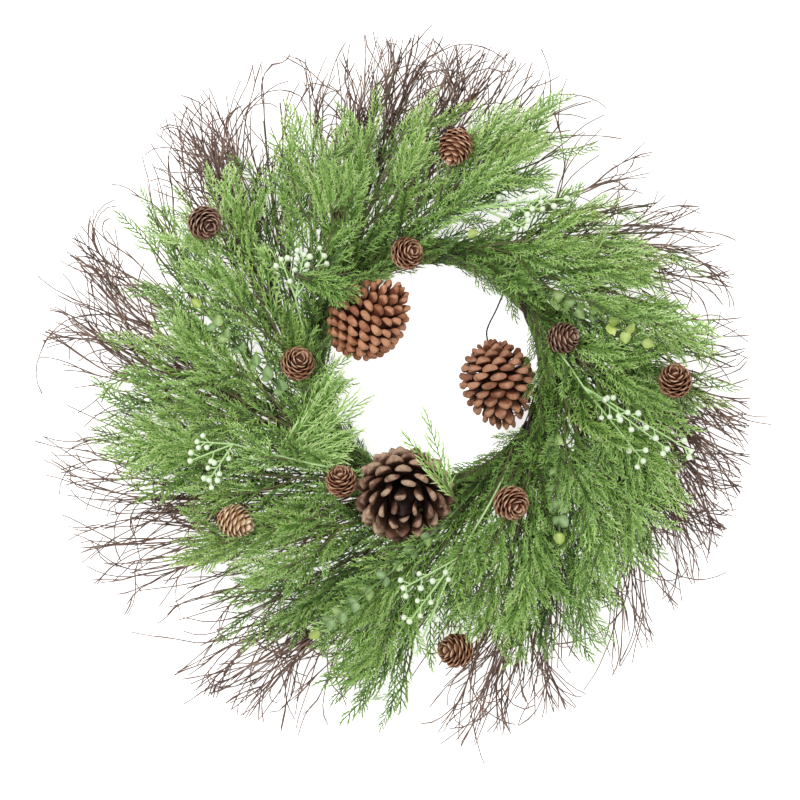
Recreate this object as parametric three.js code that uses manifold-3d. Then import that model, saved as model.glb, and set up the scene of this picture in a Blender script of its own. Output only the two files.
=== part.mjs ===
// A fresh evergreen wreath, lying on its back: cedar sprays, bare twigs, pine cones, berry sprigs and
// eucalyptus sprigs, all tucked into a ring of twisted vines. Every stem leaves the ring almost along it and
// sweeps out clockwise, as a florist lays them, so one family of curves places everything.
// Millimetres, +Z up. The origin is on the surface the wreath lies on, under the middle of its outline.

import * as THREE from "three";
import { mergeVertices } from "three/addons/utils/BufferGeometryUtils.js";
import Module from "manifold-3d";

const wasm = await Module();
wasm.setup();
const { clamp, degToRad } = THREE.MathUtils;
const vector = (x, y, z) => new THREE.Vector3(x, y, z);

// ---------------------------------------------------------------- driving dimensions

// The ring: vines wound round each other, pressed flat underneath where the wreath lies.
const RING_RADIUS = 102;
const RING_HEIGHT = 12;
const VINES = 3;
const VINE_RADIUS = 8.4;
const VINE_WANDER = 5.8;
const VINE_TURNS = 4;
const VINE_SIDES = 5;
const VINE_STEPS = 26;

// The sweep of a stem: its angle to the radius falls from LEAN_ROOT at the ring to LEAN_TIP.
const LEAN_ROOT = degToRad(66);
const LEAN_TIP = degToRad(28);
const LEAN_FADE = 48;

// How far the greenery and the twigs reach from the ring's middle. Both reach furthest to the lower left.
const FRONT_REACH = 226;
const BACK_REACH = 248;
const TWIG_REACH = 292;
const LONG_SIDE = degToRad(213);
const CEDAR_LOPSIDED = 26;
const TWIG_LOPSIDED = 34;

// No greenery grows further in than this: the middle of the wreath stays open.
const HOLE_RADIUS = 85;

// Where the stems leave the ring, in degrees round it. The bare twigs lie lowest, then two layers of cedar.
// One spray of the front layer is tucked in under the cone at the lower left.
const FRONT_ROOTS = [0, 23, 58, 78, 115, 140, 163, 190, 223, 247, 303, 329];
const TUCKED_ROOTS = [271];
const BACK_ROOTS = [12, 45, 78, 111, 143, 175, 208, 240, 284, 313, 345];
const TWIG_ROOTS = [5, 41, 77, 113, 149, 185, 221, 257, 293, 329];

// Half thicknesses of the stems, from the middle to a corner of the section.
const STEM_RADIUS = 2.1;
const SHOOT_RADIUS = 1.9;
const TWIG_RADIUS = 1.6;
const TWIGLET_RADIUS = 1.1;
const SPRIG_RADIUS = 1.2;
const WIRE_RADIUS = 0.8;

// A section is this much as wide and as high as the circle round it.
const SECTION_WIDE = 0.8;
const SECTION_HIGH = 0.6;

// Between a stem and its hole in the ring, and between pieces that only lie near each other.
const SEAT_GAP = 0.35;
const CLEARANCE = 0.6;

// Half the distance between the two rings of a stem that a side shoot grows between.
const JUNCTION = 1.5;

// Scales of the large cones: so many round, in so many rows, each turned half a scale from the last.
const SCALES_ROUND = 8;
const SCALE_ROWS = 7;
const BERRY_RADIUS = 3.2;
const LEAF_LENGTH = 19;
const LEAF_WIDTH = 11;
const LEAF_THICKNESS = 0.8;

// Middle, axis from base to tip, height and width of each cone. Two of the large ones are lowered onto the
// ring; the third hangs in its opening from a wire. The small ones are lowered onto the foliage.
const LARGE_CONES = [
  { at: [-52, 44, 70], axis: [0.56, 0.62, 0.22], height: 74, width: 68 },
  { at: [58, -7, 36], axis: [0.2, -0.95, 0.12], height: 76, width: 62, hung: true },
  { at: [-21, -99, 90], axis: [0.12, 0.66, 0.74], height: 76, width: 74 },
];
const WIRE_FROM = { degrees: 48, radius: 94, height: 14.6 };
const SMALL_CONES = [
  { at: [-189, 122, 80], axis: [0.35, -0.35, 0.87], height: 29, width: 27 },
  { at: [19, 185, 80], axis: [-0.35, -0.8, 0.45], height: 34, width: 27 },
  { at: [-112, 6, 78], axis: [0.25, 0.35, 0.9], height: 29, width: 27 },
  { at: [-20, 98, 74], axis: [0.5, 0.1, 0.85], height: 28, width: 26 },
  { at: [111, 27, 80], axis: [0.75, 0.1, 0.6], height: 29, width: 25 },
  { at: [204, -8, 80], axis: [-0.05, 0.55, 0.8], height: 33, width: 27 },
  { at: [-76, -92, 78], axis: [-0.1, 0.6, 0.78], height: 30, width: 25 },
  { at: [-163, -127, 80], axis: [0.85, -0.35, 0.4], height: 33, width: 26 },
  { at: [67, -112, 78], axis: [0.4, -0.35, 0.85], height: 30, width: 28 },
  { at: [19, -237, 76], axis: [-0.8, 0.05, 0.6], height: 32, width: 28 },
];

// Each berry sprig: the point its stem forks at, then the ends of its branches.
const BERRY_SPRIGS = [
  { fork: [-114, 60], ends: [[-126, 92], [-107, 96], [-90, 95]] },
  { fork: [38, 136], ends: [[78, 118], [92, 134], [112, 143]] },
  { fork: [126, -14], ends: [[176, -76], [196, -66], [216, -68]] },
  { fork: [20, -158], ends: [[-24, -182], [-19, -210], [-14, -238]] },
  { fork: [-166, -62], ends: [[-196, -60], [-202, -76], [-186, -92]] },
];

// Each leafy sprig: where it ends. Its stem follows the sweep.
const LEAF_SPRIGS = [[30, 112], [176, 24], [-194, 52], [-95, -218], [106, -136]];

// ---------------------------------------------------------------- materials

const paint = (color, roughness, metalness = 0) =>
  new THREE.MeshStandardMaterial({ color, roughness, metalness });

const MATERIALS = {
  vine: paint(0x5a4636, 0.85),
  twig: paint(0x5a4a42, 0.8),
  cedarBack: paint(0x4a7030, 0.65),
  cedarFront: paint(0x6c9a48, 0.6),
  largeCone: paint(0x8f6144, 0.75),
  smallCone: paint(0x7a4a32, 0.75),
  berry: paint(0xe4f0cf, 0.45),
  leaf: paint(0x93ad6c, 0.6),
  wire: paint(0x3a3a38, 0.4, 1),
};

// ---------------------------------------------------------------- solids

// A geometry with its shared corners merged, as a solid.
function solidOf(geometry) {
  const bare = new THREE.BufferGeometry();
  bare.setAttribute("position", geometry.getAttribute("position"));
  bare.setIndex(geometry.index);
  const merged = mergeVertices(bare, 1e-4);
  const corners = merged.index.array;
  const triVerts = [];
  for (let i = 0; i < corners.length; i += 3) {
    const [a, b, c] = corners.slice(i, i + 3);
    if (a !== b && b !== c && c !== a) triVerts.push(a, b, c);
  }
  const mesh = new wasm.Mesh({
    numProp: 3,
    vertProperties: new Float32Array(merged.attributes.position.array),
    triVerts: new Uint32Array(triVerts),
  });
  return new wasm.Manifold(mesh);
}

// Solids joined into one. What doesn't reach the largest body is dropped.
function fuse(solids) {
  const bodies = wasm.Manifold.union(solids).decompose();
  return bodies.reduce((best, body) => (body.volume() > best.volume() ? body : best));
}

function geometryOf(solid) {
  const mesh = solid.getMesh();
  const geometry = new THREE.BufferGeometry();
  geometry.setAttribute("position", new THREE.BufferAttribute(mesh.vertProperties, 3));
  geometry.setIndex(new THREE.BufferAttribute(mesh.triVerts, 1));
  geometry.computeVertexNormals();
  return geometry;
}

// A branching stem as one closed mesh. It is a chain of four-cornered rings, and a side shoot grows out of
// the side face between two rings of its parent that lie close together.
class Branching {
  corners = [];
  triangles = [];

  ring({ place, direction, wide, high }, ahead = 0) {
    const right = rightOf(direction);
    const over = right.clone().cross(direction);
    const spread = [[1, -1], [1, 1], [-1, 1], [-1, -1]];
    return spread.map(([a, b]) => {
      const corner = place.clone().addScaledVector(direction, ahead);
      corner.addScaledVector(right, a * wide).addScaledVector(over, b * high);
      return this.corners.push(corner) - 1;
    });
  }

  quad(a, b, c, d) {
    this.triangles.push(a, b, c, a, c, d);
  }

  // The faces between two rings, apart from the right one (0) or the left one (2) where a shoot grows.
  skin(back, front, open = []) {
    for (let k = 0; k < 4; k++) {
      const next = (k + 1) % 4;
      if (!open.includes(k)) this.quad(back[k], front[k], front[next], back[next]);
    }
  }

  // Carries a chain on from a ring: { knots, tip }. A knot can hold a chain to its left and to its right.
  carryOn(from, { knots, tip }) {
    let back = from;
    for (const knot of knots) {
      if (!knot.left && !knot.right) {
        const ring = this.ring(knot);
        this.skin(back, ring);
        back = ring;
        continue;
      }
      const before = this.ring(knot, -JUNCTION);
      const after = this.ring(knot, JUNCTION);
      this.skin(back, before);
      this.skin(before, after, [knot.right ? 0 : -1, knot.left ? 2 : -1]);
      if (knot.right) this.carryOn([before[0], before[1], after[1], after[0]], knot.right);
      if (knot.left) this.carryOn([after[3], after[2], before[2], before[3]], knot.left);
      back = after;
    }
    if (!tip) return this.quad(back[3], back[2], back[1], back[0]);
    const point = this.corners.push(tip) - 1;
    for (let k = 0; k < 4; k++) this.triangles.push(back[k], point, back[(k + 1) % 4]);
  }

  solid() {
    const mesh = new wasm.Mesh({
      numProp: 3,
      vertProperties: new Float32Array(this.corners.flatMap((corner) => corner.toArray())),
      triVerts: new Uint32Array(this.triangles),
    });
    return new wasm.Manifold(mesh);
  }
}

function branchingSolid({ knots, tip }) {
  const mesh = new Branching();
  const [first, ...rest] = knots;
  const root = mesh.ring(first);
  mesh.quad(...root);
  mesh.carryOn(root, { knots: rest, tip });
  return mesh.solid();
}

function rightOf(direction) {
  return vector(direction.y, -direction.x, 0).normalize();
}

// Knots at the points of a path, but for its pointed end, thinning from one radius to another.
function knotsOf(points, radius, tipRadius) {
  return points.slice(0, -1).map((place, i) => {
    const size = radius + ((tipRadius - radius) * i) / (points.length - 1);
    return knotAt(place, headingAt(points, i), size * SECTION_WIDE, size * SECTION_HIGH);
  });
}

function knotAt(place, direction, wide, high) {
  return { place, direction, wide, high };
}

// The direction of a path at one of its points, half way between those of its stretches there.
function headingAt(points, i) {
  const heading = vector(0, 0, 0);
  if (i > 0) heading.add(points[i].clone().sub(points[i - 1]).normalize());
  if (i + 1 < points.length) heading.add(points[i + 1].clone().sub(points[i]).normalize());
  return heading.normalize();
}

// ---------------------------------------------------------------- the sweep

// A number from -1 to 1, the same each time for the same pair.
function draw(i, k) {
  const x = Math.sin(i * 12.9898 + k * 78.233) * 43758.5453;
  return 2 * (x - Math.floor(x)) - 1;
}

function lean(r) {
  return LEAN_TIP + (LEAN_ROOT - LEAN_TIP) * Math.exp(-(r - RING_RADIUS) / LEAN_FADE);
}

// The angle that a stem turns through, clockwise, between the ring and radius r.
function sweep(r) {
  const steps = 40;
  const step = (r - RING_RADIUS) / steps;
  let turned = 0;
  for (let i = 0; i < steps; i++) {
    const middle = RING_RADIUS + (i + 0.5) * step;
    turned += (Math.tan(lean(middle)) / middle) * step;
  }
  return turned;
}

// The point at radius r and height z on the curve that leaves the ring at a root angle.
function onSweep(root, r, z) {
  const angle = root - sweep(r);
  return vector(r * Math.cos(angle), r * Math.sin(angle), z);
}

// The root angle of the curve that passes through a point.
function rootThrough([x, y]) {
  return Math.atan2(y, x) + sweep(Math.hypot(x, y));
}

// How far from the middle a stem ends, given the mean reach and how much longer the long side is.
function reachOf(root, mean, lopsided) {
  return mean + lopsided * Math.cos(root - sweep(mean) - LONG_SIDE);
}

// Points along the sweep: a straight stretch out of the ring, then steps that are shorter where it bends.
function sweepPath(root, { start, exit, heightAt }, reach, steps) {
  const points = [onSweep(root, start, heightAt(start))];
  for (let i = 0; i < steps; i++) {
    const r = exit + (reach - exit) * Math.pow(i / (steps - 1), 1.25);
    points.push(onSweep(root, r, heightAt(r)));
  }
  return points;
}

// Where each layer starts in the ring and comes out of it, and how high it runs: it rises steeply out of the
// ring and then runs level, drooping a little at the tips.
const droop = (r) => 0.0007 * Math.pow(Math.max(0, r - 160), 2);
const FRONT = { start: 101, exit: 106, heightAt: (r) => 60 - 41 * Math.exp(-(r - 101) / 11) - droop(r) };
const TUCKED = { start: 107, exit: 119, heightAt: (r) => 20 + 39 / (1 + Math.exp((143 - r) / 6)) - droop(r) };
const BACK = { start: 107, exit: 119, heightAt: (r) => 34 - 17 * Math.exp(-(r - 107) / 13) };
const TWIG = { start: 107, exit: 121, heightAt: (r) => 11 + 0.03 * Math.max(0, r - 140) };
const SPRIG = { start: 99, exit: 103.5, heightAt: (r) => 73 - 54 * Math.exp(-(r - 99) / 7) - droop(r) };

// A direction turned sideways, to the right for a positive turn, and lifted, from one that is nearly level.
function turned(along, turn, lift) {
  const right = vector(along.y, -along.x, 0).normalize();
  const ahead = vector(along.x, along.y, 0).normalize();
  const direction = ahead.multiplyScalar(Math.cos(turn)).addScaledVector(right, Math.sin(turn));
  direction.z = Math.tan(lift);
  return direction.normalize();
}

// ---------------------------------------------------------------- keeping pieces clear of each other

const taken = [];

function take(name, points, radius) {
  for (let i = 0; i + 1 < points.length; i++) {
    taken.push(stretch(name, points[i], points[i + 1], radius));
  }
}

function stretch(name, from, to, radius) {
  const middle = from.clone().lerp(to, 0.5);
  return { name, from, to, radius, middle, bound: from.distanceTo(to) / 2 + radius };
}

// Shortest distance between the middle lines of two straight stretches.
function distanceBetween(one, other) {
  const u = one.to.clone().sub(one.from);
  const v = other.to.clone().sub(other.from);
  const w = one.from.clone().sub(other.from);
  const uu = Math.max(u.dot(u), 1e-9);
  const vv = Math.max(v.dot(v), 1e-9);
  const uv = u.dot(v);
  const spread = uu * vv - uv * uv;
  const first = spread > 1e-9 ? clamp((uv * v.dot(w) - vv * u.dot(w)) / spread, 0, 1) : 0;
  const t = clamp((uv * first + v.dot(w)) / vv, 0, 1);
  const s = clamp((uv * t - u.dot(w)) / uu, 0, 1);
  return w.addScaledVector(u, s).addScaledVector(v, -t).length();
}

// The first piece that a path of that radius would come too close to, if any. The stems that it grows from
// don't count.
function blocker(path, radius, parents) {
  for (let i = 0; i + 1 < path.length; i++) {
    const mine = stretch("", path[i], path[i + 1], radius);
    if (Math.min(mine.from.z, mine.to.z) < radius + 2.5) return "the surface";
    if (Math.hypot(mine.to.x, mine.to.y) < HOLE_RADIUS + radius) return "the hole";
    for (const other of taken) {
      if (parents.includes(other.name)) continue;
      if (mine.middle.distanceTo(other.middle) > mine.bound + other.bound + CLEARANCE) continue;
      if (distanceBetween(mine, other) < radius + other.radius + CLEARANCE) return other.name;
    }
  }
  return null;
}

// Takes a path whose place is given, and says so if it lies too near another piece.
function claim(name, path, radius) {
  const met = blocker(path, radius, [name]);
  if (met) console.warn(`${name} comes too near ${met}`);
  take(name, path, radius);
}

// Takes a stem that starts inside the ring, with a hole in the ring for its first stretch.
function claimStem(name, stem, radius) {
  const met = blocker(stem.slice(0, 2), radius, ["vine_ring"]);
  if (met) console.warn(`${name} comes too near ${met} in the ring`);
  claim(name, stem.slice(1), radius);
  take(name, stem.slice(0, 2), radius);
  addSocket(stem, radius);
}

// A shoot from a knot: it sets off turned to one side and bends back towards the way its parent runs. It is
// shortened, and then left out, where it would come too near another piece.
function shoot({ place, direction }, { turn, lift, length, radius, steps, parents }) {
  for (const share of [1, 0.75, 0.5]) {
    const path = [place];
    for (let i = 0; i < steps; i++) {
      const heading = turned(direction, turn * (1 - (0.6 * i) / steps), lift);
      path.push(path[i].clone().addScaledVector(heading, (length * share) / steps));
    }
    if (!blocker(path, radius, parents)) return path;
  }
  return null;
}

// ---------------------------------------------------------------- nodes

const nodes = [];
const sockets = [];

function addNode(name, solid, material) {
  nodes.push({ name, solid, material });
}

// A plain hole in the ring for the straight first stretch of a stem.
function addSocket([from, to], radius) {
  const direction = to.clone().sub(from).normalize();
  const wide = radius * SECTION_WIDE + SEAT_GAP;
  const high = radius * SECTION_HIGH + SEAT_GAP;
  const behind = knotAt(from.clone().addScaledVector(direction, -SEAT_GAP), direction, wide, high);
  const beyond = knotAt(from.clone().lerp(to, 1.15), direction, wide, high);
  sockets.push(branchingSolid({ knots: [behind, beyond] }));
}

// Lowers a solid straight down until it all but touches one of the others.
function settle(solid, others) {
  let lowered = solid;
  for (let i = 0; i < 40; i++) {
    const gap = Math.min(...others.map((other) => lowered.minGap(other, 60)));
    if (gap < SEAT_GAP + 0.02) break;
    lowered = lowered.translate(0, 0, SEAT_GAP - gap);
  }
  return lowered;
}

// ---------------------------------------------------------------- the ring of vines

function ringOfVines() {
  const vines = [];
  for (let vine = 0; vine < VINES; vine++) {
    const geometry = new THREE.TorusGeometry(RING_RADIUS, VINE_RADIUS, VINE_SIDES, VINE_STEPS);
    const position = geometry.getAttribute("position");
    for (let i = 0; i < position.count; i++) {
      const angle = Math.atan2(position.getY(i), position.getX(i));
      const turn = VINE_TURNS * angle + (2 * Math.PI * vine) / VINES;
      const r = Math.hypot(position.getX(i), position.getY(i)) + VINE_WANDER * Math.cos(turn);
      const z = position.getZ(i) + RING_HEIGHT + VINE_WANDER * Math.sin(turn);
      position.setXYZ(i, r * Math.cos(angle), r * Math.sin(angle), z);
    }
    vines.push(solidOf(geometry));
  }
  const surface = new THREE.BoxGeometry(400, 400, 20).translate(0, 0, -10);
  return fuse(vines).subtract(solidOf(surface));
}

function takeRing() {
  const stretches = 36;
  const points = [];
  for (let i = 0; i <= stretches; i++) {
    const angle = (2 * Math.PI * i) / stretches;
    points.push(vector(RING_RADIUS * Math.cos(angle), RING_RADIUS * Math.sin(angle), RING_HEIGHT));
  }
  take("vine_ring", points, VINE_RADIUS + VINE_WANDER);
}

// ---------------------------------------------------------------- cones

// Half the width of a cone, as a share of its widest, from its base (0) to its tip (1).
function coneProfile(share) {
  return Math.pow(Math.sin(Math.PI * Math.pow(0.06 + 0.94 * share, 0.72)), 0.75);
}

// An open pine cone, from its base at the origin up +Y: a spindle faced with diamonds, and on each diamond a
// scale that stands out, turns up towards the tip and ends in a low knob.
function largeCone(height, width) {
  const slice = (2 * Math.PI) / SCALES_ROUND;
  const rows = SCALE_ROWS + 1;
  const corners = [];
  const triVerts = [];
  const corner = (radius, angle, y) =>
    corners.push(radius * Math.cos(angle), y, radius * Math.sin(angle)) / 3 - 1;
  const levelAt = (row) => height * (0.1 + (0.78 * row) / rows);
  const coreAt = (row) => width * (0.2 - (0.13 * row) / rows);
  const core = [];
  for (let row = 0; row <= rows; row++) {
    core.push([...Array(SCALES_ROUND).keys()].map((k) => {
      return corner(coreAt(row), (k + (row % 2) / 2) * slice, levelAt(row));
    }));
  }
  const bottom = corner(0, 0, 0.04 * height);
  const top = corner(0, 0, levelAt(rows) + 0.03 * height);
  for (let k = 0; k < SCALES_ROUND; k++) {
    const next = (k + 1) % SCALES_ROUND;
    triVerts.push(bottom, core[0][k], core[0][next]);
    triVerts.push(core[0][next], core[0][k], core[1][k]);
    triVerts.push(top, core[rows][next], core[rows][k]);
    triVerts.push(core[rows][k], core[rows][next], core[rows - 1][(k + (rows % 2)) % SCALES_ROUND]);
  }
  for (let row = 1; row < rows; row++) {
    const share = (row - 0.5) / SCALE_ROWS;
    const rise = degToRad(-24 + 52 * share + 34 * share * share);
    const outer = 0.5 * width * coneProfile(share);
    const reach = Math.max(outer - coreAt(row), 0.09 * height);
    const y = levelAt(row) + reach * Math.tan(Math.min(rise, 0.95));
    for (let k = 0; k < SCALES_ROUND; k++) {
      const across = (row + 1) % 2;
      const right = core[row][across ? k : (k + SCALES_ROUND - 1) % SCALES_ROUND];
      const left = core[row][across ? (k + 1) % SCALES_ROUND : k];
      const base = [core[row - 1][k], right, core[row + 1][k], left];
      const angle = (k + across / 2) * slice;
      const radius = coreAt(row) + reach;
      const half = [[-0.062, 0], [0, -0.4], [0.062, 0], [0, 0.4]];
      const edge = half.map(([up, turn]) => corner(radius, angle + turn * slice, y + up * height));
      const knob = corner(radius + 0.035 * width, angle, y + 0.01 * height);
      for (let side = 0; side < 4; side++) {
        const after = (side + 1) % 4;
        triVerts.push(base[side], base[after], edge[after], base[side], edge[after], edge[side]);
        triVerts.push(edge[side], edge[after], knob);
      }
    }
  }
  const mesh = new wasm.Mesh({
    numProp: 3,
    vertProperties: new Float32Array(corners),
    triVerts: new Uint32Array(triVerts),
  });
  return new wasm.Manifold(mesh);
}

// A small closed cone: a rounded body whose surface is raised into rows of overlapping scales.
function smallCone(height, width) {
  const sides = 12;
  const rows = 8;
  const geometry = new THREE.SphereGeometry(1, sides, rows);
  const position = geometry.getAttribute("position");
  const uv = geometry.getAttribute("uv");
  const slice = (2 * Math.PI) / sides;
  for (let i = 0; i < position.count; i++) {
    const row = Math.round(uv.getY(i) * rows);
    const column = Math.round(Math.atan2(position.getZ(i), position.getX(i)) / slice);
    const pole = row % rows === 0;
    const raised = !pole && (Math.abs(column) + row) % 2 === 0;
    const radius = pole ? 0 : 0.5 * width * coneProfile(row / rows) * (raised ? 1 : 0.74);
    const y = height * (row / rows + (raised ? 0.05 : 0));
    position.setXYZ(i, radius * Math.cos(column * slice), y, radius * Math.sin(column * slice));
  }
  return solidOf(geometry);
}

// Turns a cone made along +Y so that it runs along its axis with its middle in place.
function placeCone(solid, { at, axis, height }) {
  const direction = vector(...axis).normalize();
  const turn = new THREE.Quaternion().setFromUnitVectors(vector(0, 1, 0), direction);
  const base = vector(...at).addScaledVector(direction, -height / 2);
  return solid.transform(new THREE.Matrix4().compose(base, turn, vector(1, 1, 1)).elements);
}

function takeCone(node, { at, axis, height, width }, drop) {
  const direction = vector(...axis).normalize();
  const half = Math.max(0.5, 0.5 * height - 0.45 * width);
  const middle = vector(...at).add(vector(0, 0, drop));
  const ends = [-half, half].map((d) => middle.clone().addScaledVector(direction, d));
  take(node, ends, 0.5 * width + 1);
}

function addLargeCones(ring) {
  LARGE_CONES.forEach((cone, i) => {
    const name = `large_cone_${i + 1}`;
    const placed = placeCone(largeCone(cone.height, cone.width), cone);
    const solid = cone.hung ? placed.subtract(hangFromWire(cone)) : settle(placed, [ring]);
    takeCone(name, cone, solid.boundingBox().min[2] - placed.boundingBox().min[2]);
    addNode(name, solid, MATERIALS.largeCone);
  });
}

// The wire runs out of the ring and down into the base of the cone. Returns the hole for it in the cone.
function hangFromWire({ at, axis, height }) {
  const direction = vector(...axis).normalize();
  const [under, inside, deepest] = [-0.58, -0.4, -0.4 + SEAT_GAP / height].map((share) =>
    vector(...at).addScaledVector(direction, share * height),
  );
  const angle = degToRad(WIRE_FROM.degrees);
  const [x, y] = [WIRE_FROM.radius * Math.cos(angle), WIRE_FROM.radius * Math.sin(angle)];
  const inRing = vector(x, y, WIRE_FROM.height);
  const points = [inRing, inRing.clone().lerp(under, 0.75), under, inside, inside];
  take("cone_wire", points, WIRE_RADIUS);
  addSocket(points, WIRE_RADIUS);
  addNode("cone_wire", branchingSolid({ knots: knotsOf(points, WIRE_RADIUS, WIRE_RADIUS) }), MATERIALS.wire);
  const wide = WIRE_RADIUS * SECTION_WIDE + SEAT_GAP;
  const high = WIRE_RADIUS * SECTION_HIGH + SEAT_GAP;
  return branchingSolid({ knots: [under, deepest].map((end) => knotAt(end, direction, wide, high)) });
}

// The small cones are lowered last, each until it lies on whatever is under it.
function addSmallCones() {
  const carriers = nodes.map((node) => node.solid);
  SMALL_CONES.forEach((cone, i) => {
    const placed = placeCone(smallCone(cone.height, cone.width), cone);
    const solid = settle(placed, carriers);
    addNode(`small_cone_${i + 1}`, solid, MATERIALS.smallCone);
  });
}

// ---------------------------------------------------------------- sprigs with berries or leaves

// A berry at the end of a chain: a bead of four rings and a point.
function berryKnots(middle, direction) {
  const outline = [[-1, 0.22], [-0.6, 0.72], [0.1, 1], [0.7, 0.6]];
  const bead = outline.map(([ahead, size]) => {
    const at = middle.clone().addScaledVector(direction, ahead * BERRY_RADIUS);
    return knotAt(at, direction, 0.85 * size * BERRY_RADIUS, 0.85 * size * BERRY_RADIUS);
  });
  return { knots: bead, tip: middle.clone().addScaledVector(direction, BERRY_RADIUS) };
}

// A branch from the fork of a berry sprig: a side berry on a short stalk half way, and one at the end.
function berryBranch(name, from, end, side) {
  const direction = end.clone().sub(from).normalize();
  const middle = from.clone().lerp(end, 0.55).add(vector(0, 0, 1.5));
  claim(name, [from, middle, end], 0.8);
  const knot = knotAt(middle, direction, 0.7, 0.7);
  const heading = turned(direction, side * 0.9, 0.15);
  const beside = middle.clone().addScaledVector(heading, 9);
  claim(name, [beside, beside.clone().addScaledVector(heading, 0.1)], BERRY_RADIUS);
  claim(name, [end, end.clone().addScaledVector(direction, 0.1)], BERRY_RADIUS);
  knot[side > 0 ? "right" : "left"] = berryKnots(beside, heading);
  const last = berryKnots(end, direction);
  return { knots: [knot, ...last.knots], tip: last.tip };
}

// The middle one of the three branches carries the stem on; the others leave it to the left and the right.
function addBerrySprig({ fork, ends }, i) {
  const name = `berry_sprig_${i + 1}`;
  const stem = sweepPath(rootThrough(fork), SPRIG, Math.hypot(...fork), 4);
  claimStem(name, stem, SPRIG_RADIUS);
  const knots = knotsOf([...stem, stem.at(-1)], SPRIG_RADIUS, 0.9);
  const crotch = knots.at(-1);
  crotch.direction = headingAt(stem, stem.length - 1);
  const [right, ahead, left] = ends
    .map(([x, y], k) => vector(x, y, SPRIG.heightAt(Math.hypot(x, y)) + 2 * draw(i, k)))
    .sort((a, b) => sideways(crotch, b) - sideways(crotch, a));
  crotch.right = berryBranch(name, crotch.place, right, 1);
  crotch.left = berryBranch(name, crotch.place, left, -1);
  const middle = berryBranch(name, crotch.place, ahead, i % 2 ? 1 : -1);
  addNode(name, branchingSolid({ knots: [...knots, ...middle.knots], tip: middle.tip }), MATERIALS.berry);
}

// How far to the right of a knot's direction a point lies, as an angle.
function sideways({ place, direction }, point) {
  const away = point.clone().sub(place).normalize();
  return Math.atan2(away.dot(rightOf(direction)), away.dot(direction));
}

// A rounded leaf at the end of a chain: a flat plate that widens, narrows and ends in a point.
function leafChain(place, heading, length) {
  const width = (LEAF_WIDTH * length) / LEAF_LENGTH;
  const outline = [[0.24, 0.78], [0.62, 1], [0.86, 0.62]];
  const knots = outline.map(([share, wide]) => {
    const at = place.clone().addScaledVector(heading, share * length);
    return knotAt(at, heading, (wide * width) / 2, LEAF_THICKNESS / 2);
  });
  return { knots, tip: place.clone().addScaledVector(heading, length) };
}

function addLeafSprig(end, i) {
  const name = `leaf_sprig_${i + 1}`;
  const reach = Math.hypot(...end);
  const stem = sweepPath(rootThrough(end), SPRIG, reach, 5);
  claimStem(name, stem, SPRIG_RADIUS);
  const knots = knotsOf([...stem, stem.at(-1)], SPRIG_RADIUS, 0.8);
  knots.at(-1).direction = headingAt(stem, stem.length - 1);
  const leafy = [-3, -2].map((k) => knots.at(k));
  leafy.forEach((knot, k) => {
    for (const side of [-1, 1]) {
      const turn = side * degToRad(54 + 8 * draw(i, k + side));
      const heading = turned(knot.direction, turn, degToRad(6 + 6 * draw(k, i + side)));
      takeLeaf(name, knot.place, heading);
      knot[side > 0 ? "right" : "left"] = leafChain(knot.place, heading, LEAF_LENGTH);
    }
  });
  const top = knots.at(-1);
  takeLeaf(name, top.place, top.direction);
  const last = leafChain(top.place, top.direction, LEAF_LENGTH);
  addNode(name, branchingSolid({ knots: [...knots, ...last.knots], tip: last.tip }), MATERIALS.leaf);
}

function takeLeaf(name, place, heading) {
  const ends = [0.35, 0.75].map((share) => place.clone().addScaledVector(heading, share * LEAF_LENGTH));
  claim(name, ends, LEAF_WIDTH / 2);
}

// ---------------------------------------------------------------- cedar and twigs

const LAYERS = [
  { kind: "twig_bunch", roots: TWIG_ROOTS, reach: TWIG_REACH, lopsided: TWIG_LOPSIDED, sweep: TWIG,
    radius: TWIG_RADIUS, material: MATERIALS.twig },
  { kind: "cedar_back", roots: BACK_ROOTS, reach: BACK_REACH, lopsided: CEDAR_LOPSIDED, sweep: BACK,
    radius: STEM_RADIUS, material: MATERIALS.cedarBack },
  { kind: "cedar_tucked", roots: TUCKED_ROOTS, reach: FRONT_REACH, lopsided: CEDAR_LOPSIDED, sweep: TUCKED,
    radius: STEM_RADIUS, material: MATERIALS.cedarFront },
  { kind: "cedar_front", roots: FRONT_ROOTS, reach: FRONT_REACH, lopsided: CEDAR_LOPSIDED, sweep: FRONT,
    radius: STEM_RADIUS, material: MATERIALS.cedarFront },
];
const STEM_STEPS = 7;

// The main stem of every spray and bunch, laid first so that all the shoots can keep clear of them.
function layStems() {
  const plants = [];
  LAYERS.forEach(({ kind, roots, reach, lopsided, sweep: layer, radius, material }, level) => {
    roots.forEach((degrees, i) => {
      const root = degToRad(degrees);
      const seed = 40 * level + i;
      const end = reachOf(root, reach, lopsided) + 8 * draw(seed, 1);
      const stem = sweepPath(root, layer, end, STEM_STEPS);
      if (level === 0) waver(stem, seed);
      const name = `${kind}_${i + 1}`;
      claimStem(name, stem, radius);
      plants.push({ name, level, seed, stem, knots: knotsOf(stem, radius, 0.7), material });
    });
  });
  return plants;
}

// Bends a twig a little from side to side, past the stretch that leaves the ring.
function waver(stem, seed) {
  for (let i = 2; i < stem.length; i++) {
    const right = rightOf(headingAt(stem, i));
    stem[i].addScaledVector(right, 5 * draw(seed, i)).add(vector(0, 0, 1.5 * draw(i, seed)));
  }
}

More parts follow.
